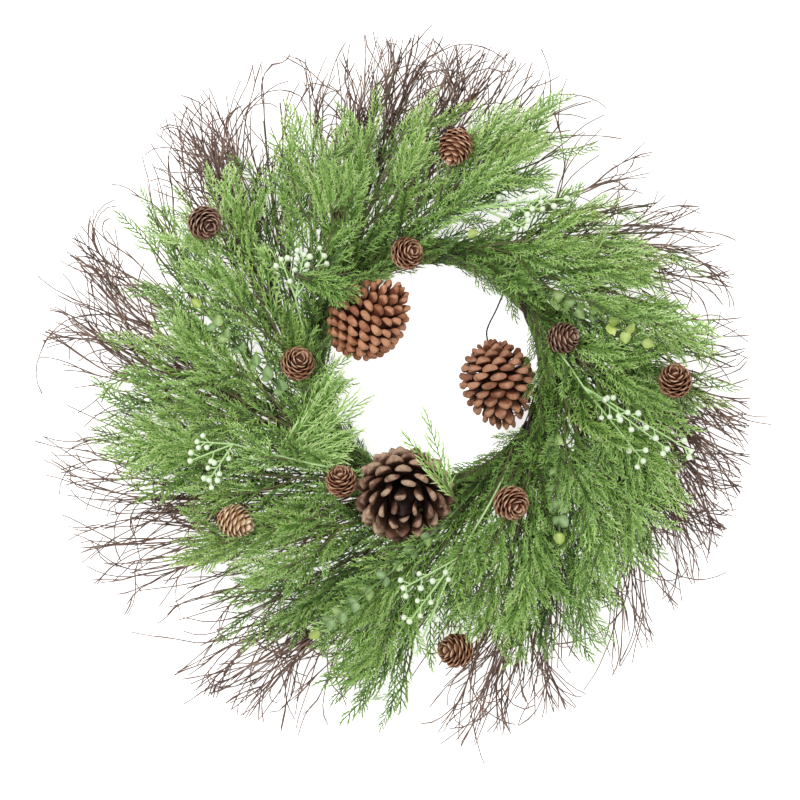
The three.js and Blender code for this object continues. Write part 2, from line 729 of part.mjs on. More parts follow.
// A pair of side shoots at a knot of a stem. Each carries one or two pairs of spikes, or a twig one fork.
function growPair({ name, level, seed, stem, knots }, i) {
  const knot = knots[i];
  const twig = level === 0;
  const full = !twig && (i === 3 || i === 4);
  const radius = twig ? TWIGLET_RADIUS : SHOOT_RADIUS;
  for (const side of [-1, 1]) {
    if (twig && (i + side) % 4 === 0) continue;
    const k = 10 * i + side;
    const branch = `${name} shoot ${k}`;
    const path = shoot(knot, {
      turn: side * degToRad((twig ? 34 : 46) + 7 * draw(seed, k)),
      lift: degToRad(2 + 5 * draw(seed, k + 5)),
      length: twig ? 58 + 14 * draw(k, seed) : shootLength(i) * (1 + 0.12 * draw(k, seed)),
      radius,
      steps: full ? 3 : 2,
      parents: [name],
    });
    if (!path) continue;
    take(branch, path, radius);
    const [, ...middle] = knotsOf(path, radius, radius * 0.6);
    for (const fork of middle) {
      for (const turnTo of twig ? [-side] : [-1, 1]) {
        const spike = shoot(fork, {
          turn: turnTo * degToRad(42 + 5 * draw(seed, k + turnTo)),
          lift: degToRad(6 * draw(seed + k, turnTo)),
          length: twig ? 32 : 23,
          radius: radius * 0.8,
          steps: 1,
          parents: [branch],
        });
        if (!spike) continue;
        take(branch, spike, radius * 0.8);
        fork[turnTo > 0 ? "right" : "left"] = { knots: [], tip: spike[1] };
      }
    }
    knot[side > 0 ? "right" : "left"] = { knots: middle, tip: path.at(-1) };
  }
}

// Side shoots are longest a third of the way out, and short again at the tip.
function shootLength(i) {
  return [0, 34, 46, 54, 56, 52, 44, 34][i];
}

// The sprays grow pair by pair in turn, so that none crowds out its neighbours.
function growAll(plants) {
  for (let i = 2; i < STEM_STEPS; i++) {
    for (const plant of plants) {
      if (plant.level > 0 || i > 2) growPair(plant, i);
    }
  }
  for (const { name, stem, knots, material } of plants) {
    addNode(name, branchingSolid({ knots, tip: stem.at(-1) }), material);
  }
}

// ---------------------------------------------------------------- the wreath

function build() {
  takeRing();
  const ring = ringOfVines();
  addLargeCones(ring);
  SMALL_CONES.forEach((cone, i) => takeCone(`small_cone_${i + 1}`, cone, 0));
  BERRY_SPRIGS.forEach(addBerrySprig);
  LEAF_SPRIGS.forEach(addLeafSprig);
  growAll(layStems());
  const drilled = fuse([ring.subtract(wasm.Manifold.union(sockets))]);
  addNode("vine_ring", drilled.simplify(0.15), MATERIALS.vine);
  addSmallCones();

  // The middle of the outline goes to the origin. The lowest point is already the ring's flat underside.
  const group = new THREE.Group();
  group.name = "evergreen_wreath";
  const box = new THREE.Box3();
  for (const { name, solid, material } of nodes) {
    const mesh = new THREE.Mesh(geometryOf(solid), material);
    mesh.name = name;
    box.expandByObject(mesh);
    group.add(mesh);
  }
  const middle = box.getCenter(vector(0, 0, 0));
  group.children.forEach((mesh) => mesh.geometry.translate(-middle.x, -middle.y, -box.min.z));
  return group;
}

export default build();
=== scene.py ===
# %% [markdown]
# # A fresh evergreen wreath
# A florist twists thin vines into a ring, pushes bunches of bare twigs into its back, and lays long sprays
# of cedar over them, all leaning the same way round. Cones, berries and leafy sprigs come last. The packed
# model gives every piece its place: it is opened first and never moved. This lesson begins with the cedar,
# which is most of the wreath, goes on to the twigs and the ring behind it, and ends with what lies on top.

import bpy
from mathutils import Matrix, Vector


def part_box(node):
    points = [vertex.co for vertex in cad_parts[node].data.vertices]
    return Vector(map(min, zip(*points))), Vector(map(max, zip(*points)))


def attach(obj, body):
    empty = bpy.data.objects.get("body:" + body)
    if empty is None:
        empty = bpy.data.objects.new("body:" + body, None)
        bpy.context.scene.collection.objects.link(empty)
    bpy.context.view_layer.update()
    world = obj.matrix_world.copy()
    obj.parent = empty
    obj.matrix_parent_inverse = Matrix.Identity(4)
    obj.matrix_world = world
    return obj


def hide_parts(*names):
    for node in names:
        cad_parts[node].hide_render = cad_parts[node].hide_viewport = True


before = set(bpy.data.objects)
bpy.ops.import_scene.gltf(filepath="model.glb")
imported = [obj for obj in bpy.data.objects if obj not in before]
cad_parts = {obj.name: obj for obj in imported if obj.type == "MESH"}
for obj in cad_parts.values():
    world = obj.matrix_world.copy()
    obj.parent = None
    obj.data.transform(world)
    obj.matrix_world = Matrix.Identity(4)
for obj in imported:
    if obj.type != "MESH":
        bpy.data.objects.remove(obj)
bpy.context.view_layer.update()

# %% [markdown]
# Everything on a wreath is placed round its ring, so the middle of the ring is the one point that has to be
# known. It is half way between the corners of the ring's own box. The photograph shows 0.84 mm to a pixel,
# which makes it easy to point at something in it.

# %% Find the middle of the ring
import math
import random

import bmesh
import bpy
from mathutils import Matrix, Vector

PHOTO_SIDE = 800
PIXEL = 0.00084
RING_PIXEL = (432, 370)
UP = Vector((0, 0, 1))

ring_low, ring_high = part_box("vine_ring")
RING_MIDDLE = Vector(((ring_low.x + ring_high.x) / 2, (ring_low.y + ring_high.y) / 2, 0))


def from_ring(across, up, height=0.0):
    """A point given from the ring's middle: to the right, to the top, and above the surface."""
    return RING_MIDDLE + Vector((across, up, height))


def at_pixel(across, down, height):
    """The point at some height that the photograph shows at a pixel."""
    return from_ring((across - RING_PIXEL[0]) * PIXEL, (RING_PIXEL[1] - down) * PIXEL, height)


def round_ring(angle, radius, height):
    """A point given by its direction from the ring's middle, its distance and its height."""
    return from_ring(radius * math.cos(angle), radius * math.sin(angle), height)


print("the middle of the ring:", [round(value, 4) for value in RING_MIDDLE])

# %% [markdown]
# The photograph looks straight at the front of the wreath. A long lens far above it gives the same flat
# view. The camera comes early, so that every later cell can be judged through it.

# %% Set up the camera
CAMERA_DISTANCE = 3.2
WREATH_MIDDLE_HEIGHT = 0.05
SENSOR_WIDTH = 36

scene = bpy.context.scene


def placed(name, data):
    """A new object in the scene."""
    made = bpy.data.objects.new(name, data)
    scene.collection.objects.link(made)
    return made


camera_data = bpy.data.cameras.new("camera")
camera_data.sensor_width = SENSOR_WIDTH
camera_data.lens = SENSOR_WIDTH * (CAMERA_DISTANCE - WREATH_MIDDLE_HEIGHT) / (PHOTO_SIDE * PIXEL)
camera = placed("camera", camera_data)
camera.location = at_pixel(PHOTO_SIDE / 2, PHOTO_SIDE / 2, CAMERA_DISTANCE)
scene.camera = camera
print("the lens is", round(camera_data.lens), "mm long")

# %% [markdown]
# A white surface under soft light from all sides is how such a wreath is photographed. One large lamp
# stands a little to the upper left, so that cones and stems still get a light and a dark side, and a weaker
# one opposite fills the shadows.

# %% Light the surface it lies on
SURFACE_SIDE = 14.0
WHITE = (1, 1, 1, 1)
SKY_STRENGTH = 0.50
KEY_LAMP = {"place": (-1.6, 1.5, 3.2), "side": 1.6, "power": 84}
FILL_LAMP = {"place": (1.8, -1.4, 2.8), "side": 2.4, "power": 30}

scene.view_settings.view_transform = "Standard"
world = bpy.data.worlds.new("studio")
scene.world = world
world.use_nodes = True
sky = world.node_tree.nodes["Background"]
sky.inputs["Color"].default_value = WHITE
sky.inputs["Strength"].default_value = SKY_STRENGTH


def add_lamp(name, place, side, power):
    """A square lamp that faces the middle of the wreath."""
    lamp_data = bpy.data.lights.new(name, "AREA")
    lamp_data.size = side
    lamp_data.energy = power
    lamp = placed(name, lamp_data)
    lamp.location = RING_MIDDLE + Vector(place)
    lamp.rotation_euler = (RING_MIDDLE - lamp.location).to_track_quat("-Z", "Y").to_euler()


def to_mesh(bm, name="part"):
    """Turns a bmesh into a mesh."""
    mesh = bpy.data.meshes.new(name)
    bm.to_mesh(mesh)
    bm.free()
    return mesh


add_lamp("key_lamp", **KEY_LAMP)
add_lamp("fill_lamp", **FILL_LAMP)
surface = bmesh.new()
bmesh.ops.create_grid(surface, x_segments=1, y_segments=1, size=SURFACE_SIDE / 2)
surface_object = placed("surface", to_mesh(surface, "surface"))

# %% [markdown]
# A finish is a small network of nodes. Written as sums it reads like the recipe it is, so one class holds a
# socket and knows how to add, subtract and multiply, and another holds the material and makes any node.
# Colours are written as six hexadecimal digits.

# %% Write shader maths as sums
MIX_FACTOR = 0
MIX_FIRST = 6
MIX_SECOND = 7
MIX_RESULT = 2
NOISE_MEAN = 0.5


def opaque(code):
    """A colour from its six hexadecimal digits, as the light that it stands for."""
    shares = [int(code[start:start + 2], 16) / 255 for start in (0, 2, 4)]
    light = [share / 12.92 if share <= 0.04045 else ((share + 0.055) / 1.055) ** 2.4 for share in shares]
    return (*light, 1.0)


class Reading:
    """A value that a node gives out. Sums with it add the Math nodes they need."""

    def __init__(self, finish, socket):
        self.finish = finish
        self.socket = socket

    def __add__(self, other):
        return self.finish.maths("ADD", self, other)

    def __radd__(self, other):
        return self.finish.maths("ADD", other, self)

    def __sub__(self, other):
        return self.finish.maths("SUBTRACT", self, other)

    def __rsub__(self, other):
        return self.finish.maths("SUBTRACT", other, self)

    def __mul__(self, other):
        return self.finish.maths("MULTIPLY", self, other)

    def __rmul__(self, other):
        return self.finish.maths("MULTIPLY", other, self)


class Finish:
    """A material in the making."""

    def __init__(self, name, roughness, metallic=0.0, coat=0.0):
        self.material = bpy.data.materials.new(name)
        self.material.use_nodes = True
        self.tree = self.material.node_tree
        self.shader = self.tree.nodes["Principled BSDF"]
        self.shader.inputs["Roughness"].default_value = roughness
        self.shader.inputs["Metallic"].default_value = metallic
        self.shader.inputs["Coat Weight"].default_value = coat

    def node(self, kind, settings, sockets, output=0):
        """Makes a node: its settings first, then the values or links of its sockets."""
        made = self.tree.nodes.new(kind)
        for name, value in settings.items():
            if name == "stops":
                self.set_stops(made.color_ramp, value)
            else:
                setattr(made, name, value)
        for name, value in sockets.items():
            self.connect(made.inputs[name], value)
        return Reading(self, made.outputs[output])

    def set_stops(self, ramp, stops):
        """Fills a ramp with stops, each a position and a colour."""
        while len(ramp.elements) < len(stops):
            ramp.elements.new(1.0)
        for element, (position, code) in zip(ramp.elements, stops):
            element.position = position
            element.color = opaque(code)

    def connect(self, socket, value):
        """Gives a socket what it needs: a link, a colour or a number."""
        if isinstance(value, Reading):
            self.tree.links.new(value.socket, socket)
        elif isinstance(value, str):
            socket.default_value = opaque(value)
        else:
            socket.default_value = value

    def maths(self, operation, first, second):
        return self.node("ShaderNodeMath", {"operation": operation}, {0: first, 1: second})

    def place(self):
        """Where on the object a point lies, in metres."""
        return self.node("ShaderNodeTexCoord", {}, {}, "Object")

    def carried(self, name):
        """A value that the mesh carries at each point."""
        settings = {"attribute_type": "GEOMETRY", "attribute_name": name}
        return self.node("ShaderNodeAttribute", settings, {}, "Fac")

    def noise(self, scale, detail=2.0):
        sockets = {"Vector": self.place(), "Scale": scale, "Detail": detail}
        return self.node("ShaderNodeTexNoise", {}, sockets, "Fac")

    def ramp(self, value, stops):
        return self.node("ShaderNodeValToRGB", {"stops": stops}, {"Fac": value}, "Color")

    def mix(self, factor, first, second, blend="MIX"):
        settings = {"data_type": "RGBA", "blend_type": blend}
        sockets = {MIX_FACTOR: factor, MIX_FIRST: first, MIX_SECOND: second}
        return self.node("ShaderNodeMix", settings, sockets, MIX_RESULT)

    def colour(self, value):
        self.connect(self.shader.inputs["Base Color"], value)

    def bump(self, height, depth, strength):
        sockets = {"Height": height, "Distance": depth, "Strength": strength}
        self.connect(self.shader.inputs["Normal"], self.node("ShaderNodeBump", {}, sockets, "Normal"))


print("mid grey 808080 is", round(opaque("808080")[0], 3), "of full light")

# %% [markdown]
# The surface is matt and nearly white. It also glows, as a lit backdrop does, which lifts the shadows under
# the wreath and keeps the gaps between the twigs white. A faint noise keeps it from looking like plain
# paper.

# %% Finish the surface
SURFACE_GLOW = 0.75

surface_finish = Finish("white_surface", roughness=0.6)
surface_finish.colour(surface_finish.mix(surface_finish.noise(scale=6.0), "f4f4f1", "ffffff"))
surface_finish.shader.inputs["Emission Color"].default_value = WHITE
surface_finish.shader.inputs["Emission Strength"].default_value = SURFACE_GLOW
surface_object.data.materials.append(surface_finish.material)
print("finished", surface_finish.material.name)

# %% [markdown]
# Every finished piece is one mesh object that stands at the origin, takes the place of the plain solids it
# stands for, and rides on the wreath's one body. Doing that in one helper means it can't be forgotten.

# %% Hand a mesh over as a piece
def finished(mesh, name, finish, slot, *nodes):
    """Makes a mesh a piece of the wreath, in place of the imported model's own nodes."""
    mesh.name = name
    mesh.materials.append(finish.material)
    piece = placed(name, mesh)
    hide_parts(*nodes)
    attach(piece, "root")
    return piece


def triangles_in(mesh):
    mesh.calc_loop_triangles()
    return len(mesh.loop_triangles)


print("the packed model has", len(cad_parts), "nodes")

# %% [markdown]
# Stems, twigs, vines and wires are all round and long. A curve with a bevel is the natural tool: it takes a
# line of points with a thickness at each, and Blender makes the skin. Turned into a mesh at the end, it can
# carry its own values. Knots are only points where the thickness swells.

# %% Make rods from lines of points
KNOT_SWELL = 1.5


def smoothed(points, pieces):
    """The same path with more points, in soft curves through the ones given."""
    line = []
    last = len(points) - 1
    for i in range(last):
        before, here, there, after = (points[min(max(i + k, 0), last)] for k in (-1, 0, 1, 2))
        for step in range(pieces):
            t = step / pieces
            line.append(0.5 * (
                2 * here
                + (there - before) * t
                + (2 * before - 5 * here + 4 * there - after) * t * t
                + (3 * here - before - 3 * there + after) * t ** 3
            ))
    line.append(points[-1].copy())
    return line


def thinning(count, thick, thin, knots=()):
    """The radius at each point of a rod that gets thinner towards its end, with knots."""
    radii = [thick + (thin - thick) * i / (count - 1) for i in range(count)]
    for i in knots:
        radii[i] *= KNOT_SWELL
    return radii


def rods(strands, sides=4, closed=False):
    """One mesh of many rods. A strand is its points and the radius at each."""
    curve = bpy.data.curves.new("rods", "CURVE")
    curve.dimensions = "3D"
    curve.bevel_depth = 1.0
    curve.bevel_resolution = sides // 2 - 2
    curve.use_fill_caps = not closed
    for points, radii in strands:
        spline = curve.splines.new("POLY")
        spline.points.add(len(points) - 1)
        for knot, point, radius in zip(spline.points, points, radii):
            knot.co = (*point, 1.0)
            knot.radius = radius
        spline.use_cyclic_u = closed
    holder = placed("rods", curve)
    mesh = bpy.data.meshes.new_from_object(holder.evaluated_get(bpy.context.evaluated_depsgraph_get()))
    bpy.data.objects.remove(holder)
    bpy.data.curves.remove(curve)
    return mesh


sample = rods([([Vector((0, 0, 0)), Vector((0, 0, 0.1))], [0.01, 0.005])])
print("a rod of one stretch has", len(sample.polygons), "faces")

# %% [markdown]
# All stems follow one family of lines: each leaves the ring almost along it and sweeps outwards, clockwise.
# The angle between a stem and the way straight out is its lean. Adding up the turn that the lean gives at
# each distance tells where a stem has got to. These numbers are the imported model's own.

# %% Draw the sweep of a stem
RING_RADIUS = 0.102
LEAN_ROOT = math.radians(66)
LEAN_TIP = math.radians(28)
LEAN_FADE = 0.048
LONG_SIDE = math.radians(213)
SWEEP_STEPS = 40
DROOP = 0.7
DROOPS_BEYOND = 0.160
DRAW_WAVES = (12.9898, 78.233)
DRAW_STRETCH = 43758.5453


def lean(radius):
    """The lean of a stem where it is this far from the middle."""
    return LEAN_TIP + (LEAN_ROOT - LEAN_TIP) * math.exp(-(radius - RING_RADIUS) / LEAN_FADE)


def sweep(radius):
    """How far round the ring a stem has turned when it gets this far from the middle."""
    step = (radius - RING_RADIUS) / SWEEP_STEPS
    middles = [RING_RADIUS + (k + 0.5) * step for k in range(SWEEP_STEPS)]
    return sum(math.tan(lean(middle)) / middle * step for middle in middles)


def on_sweep(root, radius, height):
    """The point of a stem that is this far from the middle."""
    return round_ring(root - sweep(radius), radius, height)


def root_through(across, up):
    """The root of the stem that passes over a point, given from the ring's middle."""
    return math.atan2(up, across) + sweep(math.hypot(across, up))


def reach_of(root, mean, lopsided):
    """Stems reach further towards the lower left, as the whole wreath does."""
    return mean + lopsided * math.cos(root - sweep(mean) - LONG_SIDE)


def droop(radius):
    """How far a stem has sunk at its far end."""
    return DROOP * max(0.0, radius - DROOPS_BEYOND) ** 2


def draw(first, second):
    """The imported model's own repeatable draw between -1 and 1."""
    value = math.sin(first * DRAW_WAVES[0] + second * DRAW_WAVES[1]) * DRAW_STRETCH
    return 2 * (value - math.floor(value)) - 1


print("a stem turns", round(math.degrees(sweep(0.226))), "degrees by the edge of the greenery")

# %% [markdown]
# The stems lie in layers, from the surface upwards: bare twigs, the back cedar, one spray that is tucked
# under a cone, the front cedar, and the sprigs of berries and leaves. Each layer has the height of its
# stems as a function of the distance from the middle.

# %% Describe the layers
TUCKED_LOW = 0.020
TUCKED_STEP = 0.039
TUCKED_STEP_AT = 0.143
TUCKED_STEP_WIDTH = 0.006
TWIG_LOW = 0.011
TWIG_SLOPE = 0.03
TWIG_RISES_BEYOND = 0.140
STEM_STEPS = 7
STEM_SPACING = 1.25


def rising(start, top, climb, fade, droops=True):
    """Heights that climb out of the ring and level off, and may droop further out."""
    return lambda radius: top - climb * math.exp((start - radius) / fade) - droops * droop(radius)


def tucked(radius):
    """Low under the cone that lies on it, and a step up beyond."""
    step = TUCKED_STEP / (1 + math.exp((TUCKED_STEP_AT - radius) / TUCKED_STEP_WIDTH))
    return TUCKED_LOW + step - droop(radius)


def near_surface(radius):
    """The heights of the twigs, which lie lowest."""
    return TWIG_LOW + TWIG_SLOPE * max(0.0, radius - TWIG_RISES_BEYOND)


FRONT = {"start": 0.101, "exit": 0.106, "height": rising(0.101, top=0.060, climb=0.041, fade=0.011)}
TUCKED = {"start": 0.107, "exit": 0.119, "height": tucked}
BACK = {
    "start": 0.107, "exit": 0.119,
    "height": rising(0.107, top=0.034, climb=0.017, fade=0.013, droops=False),
}
TWIG = {"start": 0.107, "exit": 0.121, "height": near_surface}
SPRIG = {"start": 0.099, "exit": 0.1035, "height": rising(0.099, top=0.073, climb=0.054, fade=0.007)}


def stem_path(root, layer, reach, steps=STEM_STEPS):
    """The points of a stem, from inside the ring to its end."""
    distances = [layer["start"]]
    for i in range(steps):
        distances.append(layer["exit"] + (reach - layer["exit"]) * (i / (steps - 1)) ** STEM_SPACING)
    return [on_sweep(root, distance, layer["height"](distance)) for distance in distances]


print("a front stem runs through", len(stem_path(0, FRONT, 0.226)), "points")

# %% [markdown]
# Side branches, fans and twigs all leave a stem at some place along it and at some angle to it. These
# helpers find the place, the way the stem runs there, and the way that leaves it.

# %% Find ways that leave a stem
def along(points):
    """The distance from the start of a path to each of its points."""
    distances = [0.0]
    for here, there in zip(points, points[1:]):
        distances.append(distances[-1] + (there - here).length)
    return distances


def heading(points, i):
    """The way a path runs at one of its points."""
    return (points[min(i + 1, len(points) - 1)] - points[max(i - 1, 0)]).normalized()


def point_at(points, distances, where):
    """The point of a path at a distance from its start, and the way the path runs there."""
    i = 0
    while i < len(points) - 2 and distances[i + 1] < where:
        i += 1
    stretch = distances[i + 1] - distances[i]
    return points[i].lerp(points[i + 1], (where - distances[i]) / stretch), heading(points, i)


def turned(direction, turn, lift):
    """A direction turned clockwise seen from above, and then raised."""
    flat = Matrix.Rotation(-turn, 3, "Z") @ direction
    side = flat.cross(UP).normalized()
    return (Matrix.Rotation(lift, 3, side) @ flat).normalized()


def with_rise(way, rise):
    """A direction that rises by another amount."""
    return Vector((way.x, way.y, rise)).normalized()


def leaning(angle, lean_angle, rise):
    """A direction at some lean from the way straight out, clockwise, and raised."""
    outwards = Vector((math.cos(angle), math.sin(angle), 0))
    clockwise = Vector((math.sin(angle), -math.cos(angle), 0))
    flat = outwards * math.cos(lean_angle) + clockwise * math.sin(lean_angle)
    return (flat + Vector((0, 0, math.tan(rise)))).normalized()


print("a front stem is", round(along(stem_path(0, FRONT, 0.226))[-1] * 1000), "mm long")

# %% [markdown]
# Cones, berries and leaves lie on top of the cedar, so no fan of cedar may stand up in front of them. Each
# gets a round spot with a ceiling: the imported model's own boxes give the spots of the cones, and the
# branches of the sprigs give those of the berries and leaves.

# %% Keep room for what lies on top
BERRY_SPRIGS = [
    {"fork": (-0.114, 0.060), "ends": [(-0.126, 0.092), (-0.107, 0.096), (-0.090, 0.095)]},
    {"fork": (0.038, 0.136), "ends": [(0.078, 0.118), (0.092, 0.134), (0.112, 0.143)]},
    {"fork": (0.126, -0.014), "ends": [(0.176, -0.076), (0.196, -0.066), (0.216, -0.068)]},
    {"fork": (0.020, -0.158), "ends": [(-0.024, -0.182), (-0.019, -0.210), (-0.014, -0.238)]},
    {"fork": (-0.166, -0.062), "ends": [(-0.196, -0.060), (-0.202, -0.076), (-0.186, -0.092)]},
]
LEAF_SPRIGS = [(0.030, 0.112), (0.176, 0.024), (-0.194, 0.052), (-0.095, -0.218), (0.106, -0.136)]
SPRIG_SPOT = 0.015
BELOW_SPRIG = 0.004
SMALL_CONE_COUNT = 10
CONE_SPOT = 0.021
CONE_COVERED = 0.35
LARGE_CONE_SPOT = 0.46
LARGE_CONE_COVERED = 0.3
PROBES = (0.3, 0.55, 0.8, 1.0)
STEEPEST_DIP = -0.7


def sprig_spot(across, up):
    """The spot of a sprig's end, just below its stem."""
    ceiling = SPRIG["height"](math.hypot(across, up)) - BELOW_SPRIG
    return from_ring(across, up), SPRIG_SPOT, ceiling


def cone_spot(low, high, radius, covered):
    """The spot of a cone, of which the cedar may cover the lowest share."""
    return (low + high) / 2, radius, low.z + covered * (high.z - low.z)


SPOTS = [sprig_spot(*end) for end in LEAF_SPRIGS]
for sprig in BERRY_SPRIGS:
    fork_across, fork_up = sprig["fork"]
    for across, up in sprig["ends"]:
        SPOTS.append(sprig_spot(across, up))
        SPOTS.append(sprig_spot((across + fork_across) / 2, (up + fork_up) / 2))
for i in range(1, SMALL_CONE_COUNT + 1):
    SPOTS.append(cone_spot(*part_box(f"small_cone_{i}"), CONE_SPOT, CONE_COVERED))
low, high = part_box("large_cone_3")
SPOTS.append(cone_spot(low, high, (high.x - low.x) * LARGE_CONE_SPOT, LARGE_CONE_COVERED))


def kept_down(start, way, length):
    """The same way, dipped where a fan would cover a spot, or none if it would have to dip too steeply."""
    for spot, radius, ceiling in SPOTS:
        for share in PROBES:
            place = start + way * length * share
            if place.z > ceiling and (place - spot).xy.length < radius:
                dip = (ceiling - start.z) / (length * share)
                if dip < STEEPEST_DIP:
                    return None
                way = with_rise(way, dip)
    return way


print("spots to keep clear:", len(SPOTS))

# %% [markdown]
# Cedar has no needles: every tip is a thin rod clad in scales, a little thicker in the middle, and it bends
# back towards the way its parent grows. Tens of thousands are needed, so each has only a few faces. A rod
# is made along X, one unit long, and remembers at each point how fresh the cedar is there.

# %% Make one scale-clad tip
Z_TO_X = Matrix.Rotation(math.radians(90), 3, "Y")
HALF_FORWARD = (0.5, 0, 0)


def cut(bm, place, normal):
    """Cuts through a whole bmesh and returns what lies on the cut."""
    everything = bm.verts[:] + bm.edges[:] + bm.faces[:]
    return bmesh.ops.bisect_plane(bm, geom=everything, plane_co=place, plane_no=normal)["geom_cut"]


def tip_rod(end_size, fresh_from, fresh_to, swells=()):
    """A three-sided rod along X, one unit thick at its root. A swell is a place and the thickness there."""
    bm = bmesh.new()
    bmesh.ops.create_cone(bm, cap_ends=True, segments=3, radius1=1, radius2=end_size, depth=1)
    bmesh.ops.rotate(bm, cent=(0, 0, 0), matrix=Z_TO_X, verts=bm.verts)
    bmesh.ops.translate(bm, vec=HALF_FORWARD, verts=bm.verts)
    for share, size in swells:
        ring = [item for item in cut(bm, (share, 0, 0), (1, 0, 0)) if isinstance(item, bmesh.types.BMVert)]
        for vert in ring:
            vert.co *= Vector((1, size / vert.co.yz.length, size / vert.co.yz.length))
    tip = bm.verts.layers.float.new("tip")
    for vert in bm.verts:
        vert[tip] = fresh_from + (fresh_to - fresh_from) * vert.co.x
    return to_mesh(bm, "tip_rod")


BRANCHLET = tip_rod(0.3, 0.3, 0.9, swells=[(0.45, 1.0)])
SPIKE = tip_rod(0.0, 0.5, 1.0)
AXIS = tip_rod(0.95, 0.1, 0.35)
print("a tip has", triangles_in(BRANCHLET), "triangles and a spike", triangles_in(SPIKE))

# %% [markdown]
# Most shapes on the wreath are many copies of a few small meshes, joined into one piece. A copy is laid
# down by a matrix, and its points can be given values that the finish reads later, such as a tint.

# %% Lay down copies of small meshes
def new_bmesh(*names):
    """An empty bmesh whose points carry the named values."""
    bm = bmesh.new()
    for name in names:
        bm.verts.layers.float.new(name)
    return bm


def laid(start, direction, length, thickness, roll=0.0):
    """The matrix that lays a piece made along X down from a start point."""
    turn = direction.to_track_quat("X", "Z").to_matrix().to_4x4()
    size = Matrix.Diagonal((length, thickness, thickness, 1))
    return Matrix.Translation(start) @ turn @ Matrix.Rotation(roll, 4, "X") @ size


def add(bm, mesh, matrix=Matrix()):
    """Adds a copy of a mesh to a bmesh and returns its points."""
    before = len(bm.verts)
    bm.from_mesh(mesh)
    bm.verts.ensure_lookup_table()
    fresh = bm.verts[before:]
    bmesh.ops.transform(bm, matrix=matrix, verts=fresh)
    return fresh


def paint(bm, verts, **values):
    """Gives each of the named values to all of the points."""
    for name, value in values.items():
        layer = bm.verts.layers.float[name]
        for vert in verts:
            vert[layer] = value


trial = new_bmesh("tip")
add(trial, SPIKE, laid(RING_MIDDLE, UP, 0.01, 0.001))
print("a spike laid down on its own has", len(trial.verts), "points")
trial.free()

# %% [markdown]
# The tips grow in flat, narrow fans like feathers: an axis, tips to the left and the right of it by turns,
# and spikes on each tip. Twelve different fans, turned, rolled and resized, are enough that no two look
# alike.

# %% Grow the fans
FAN_COUNT = 12
FAN_LENGTH = 0.056
FAN_SPACING = 0.0034
FAN_CURL = 2.6
FAN_SAG = (-1.8, 1.2)
UNEVEN = (0.75, 1.25)
TAPER = 0.42
TAPER_POWER = 1.6
OPENING_FROM = 0.55
OPENING_SPEED = 4
AXIS_RADIUS = 0.00082
AXIS_STRETCHES = 4
AXIS_THINNING = 0.09
AXIS_OVERLAP = 1.04
TIP_FROM = 0.004
TIP_LENGTH = 0.0185
TIP_RADIUS = 0.00072
TIP_TURN = (24, 44)
TIP_RISE = (-0.24, 0.28)
TIP_BEND = (0.12, 0.36)
TIP_KNEE = 0.45
TIP_UNRULY = 0.1
TIP_STRETCHES = (0.48, 0.55)
LAST_TIP = 0.7
LAST_TIP_RISE = 0.1
SPIKE_PLACES = (0.22, 0.4, 0.56, 0.74)
SPIKE_LENGTH = (0.28, 0.48)
SPIKE_RISE = 0.3
SPIKES_MISSING = 0.15


def pointing(turn, rise):
    """A direction at some turn from X, which rises."""
    return Vector((math.cos(turn), math.sin(turn), rise)).normalized()


def grow_tip(bm, rng, start, turn, rise, length, side):
    """A tip of two stretches, the second bent back towards the axis, with its spikes."""
    way = pointing(turn, rise)
    bent = turn - side * rng.uniform(*TIP_BEND)
    way_on = pointing(bent, rise + rng.uniform(-TIP_UNRULY, TIP_UNRULY))
    add(bm, AXIS, laid(start, way, length * TIP_STRETCHES[0], TIP_RADIUS))
    add(bm, BRANCHLET, laid(start + way * length * TIP_KNEE, way_on, length * TIP_STRETCHES[1], TIP_RADIUS))
    for k, share in enumerate(SPIKE_PLACES):
        if rng.random() < SPIKES_MISSING:
            continue
        base = start + way * length * min(share, TIP_KNEE) + way_on * length * max(0.0, share - TIP_KNEE)
        off = turn + side * (-1) ** k * math.radians(rng.uniform(*TIP_TURN))
        off_way = pointing(off, rise + rng.uniform(-SPIKE_RISE, SPIKE_RISE))
        add(bm, SPIKE, laid(base, off_way, length * rng.uniform(*SPIKE_LENGTH), TIP_RADIUS))


def grow_fan(seed):
    """A fan along X that spreads in Y. Its tips are shorter near its root and towards its end."""
    rng = random.Random(seed)
    bm = bmesh.new()
    curl = rng.uniform(-FAN_CURL, FAN_CURL)
    sag = rng.uniform(*FAN_SAG)

    def on_axis(x):
        return Vector((x, curl * x * x, sag * x * x))

    def slope(x):
        return math.atan(2 * curl * x)

    knots = [on_axis(FAN_LENGTH * k / AXIS_STRETCHES) for k in range(AXIS_STRETCHES + 1)]
    for k, (here, there) in enumerate(zip(knots, knots[1:])):
        stretch = there - here
        thickness = AXIS_RADIUS * (1 - AXIS_THINNING * k)
        add(bm, AXIS, laid(here, stretch.normalized(), stretch.length * AXIS_OVERLAP, thickness))
    x, side = TIP_FROM, 1
    while x < FAN_LENGTH:
        share = x / FAN_LENGTH
        taper = 1 - TAPER * share ** TAPER_POWER
        opening = min(1, OPENING_FROM + OPENING_SPEED * share)
        length = TIP_LENGTH * taper * rng.uniform(*UNEVEN) * opening
        turn = slope(x) + side * math.radians(rng.uniform(*TIP_TURN))
        grow_tip(bm, rng, on_axis(x), turn, rng.uniform(*TIP_RISE), length, side)
        x += FAN_SPACING * rng.uniform(*UNEVEN)
        side = -side
    grow_tip(bm, rng, knots[-1], slope(FAN_LENGTH), sag * LAST_TIP_RISE, LAST_TIP * TIP_LENGTH, side)
    return to_mesh(bm, "fan")


FANS = [grow_fan(seed) for seed in range(FAN_COUNT)]
print("a fan has about", sum(map(triangles_in, FANS)) // FAN_COUNT, "triangles")

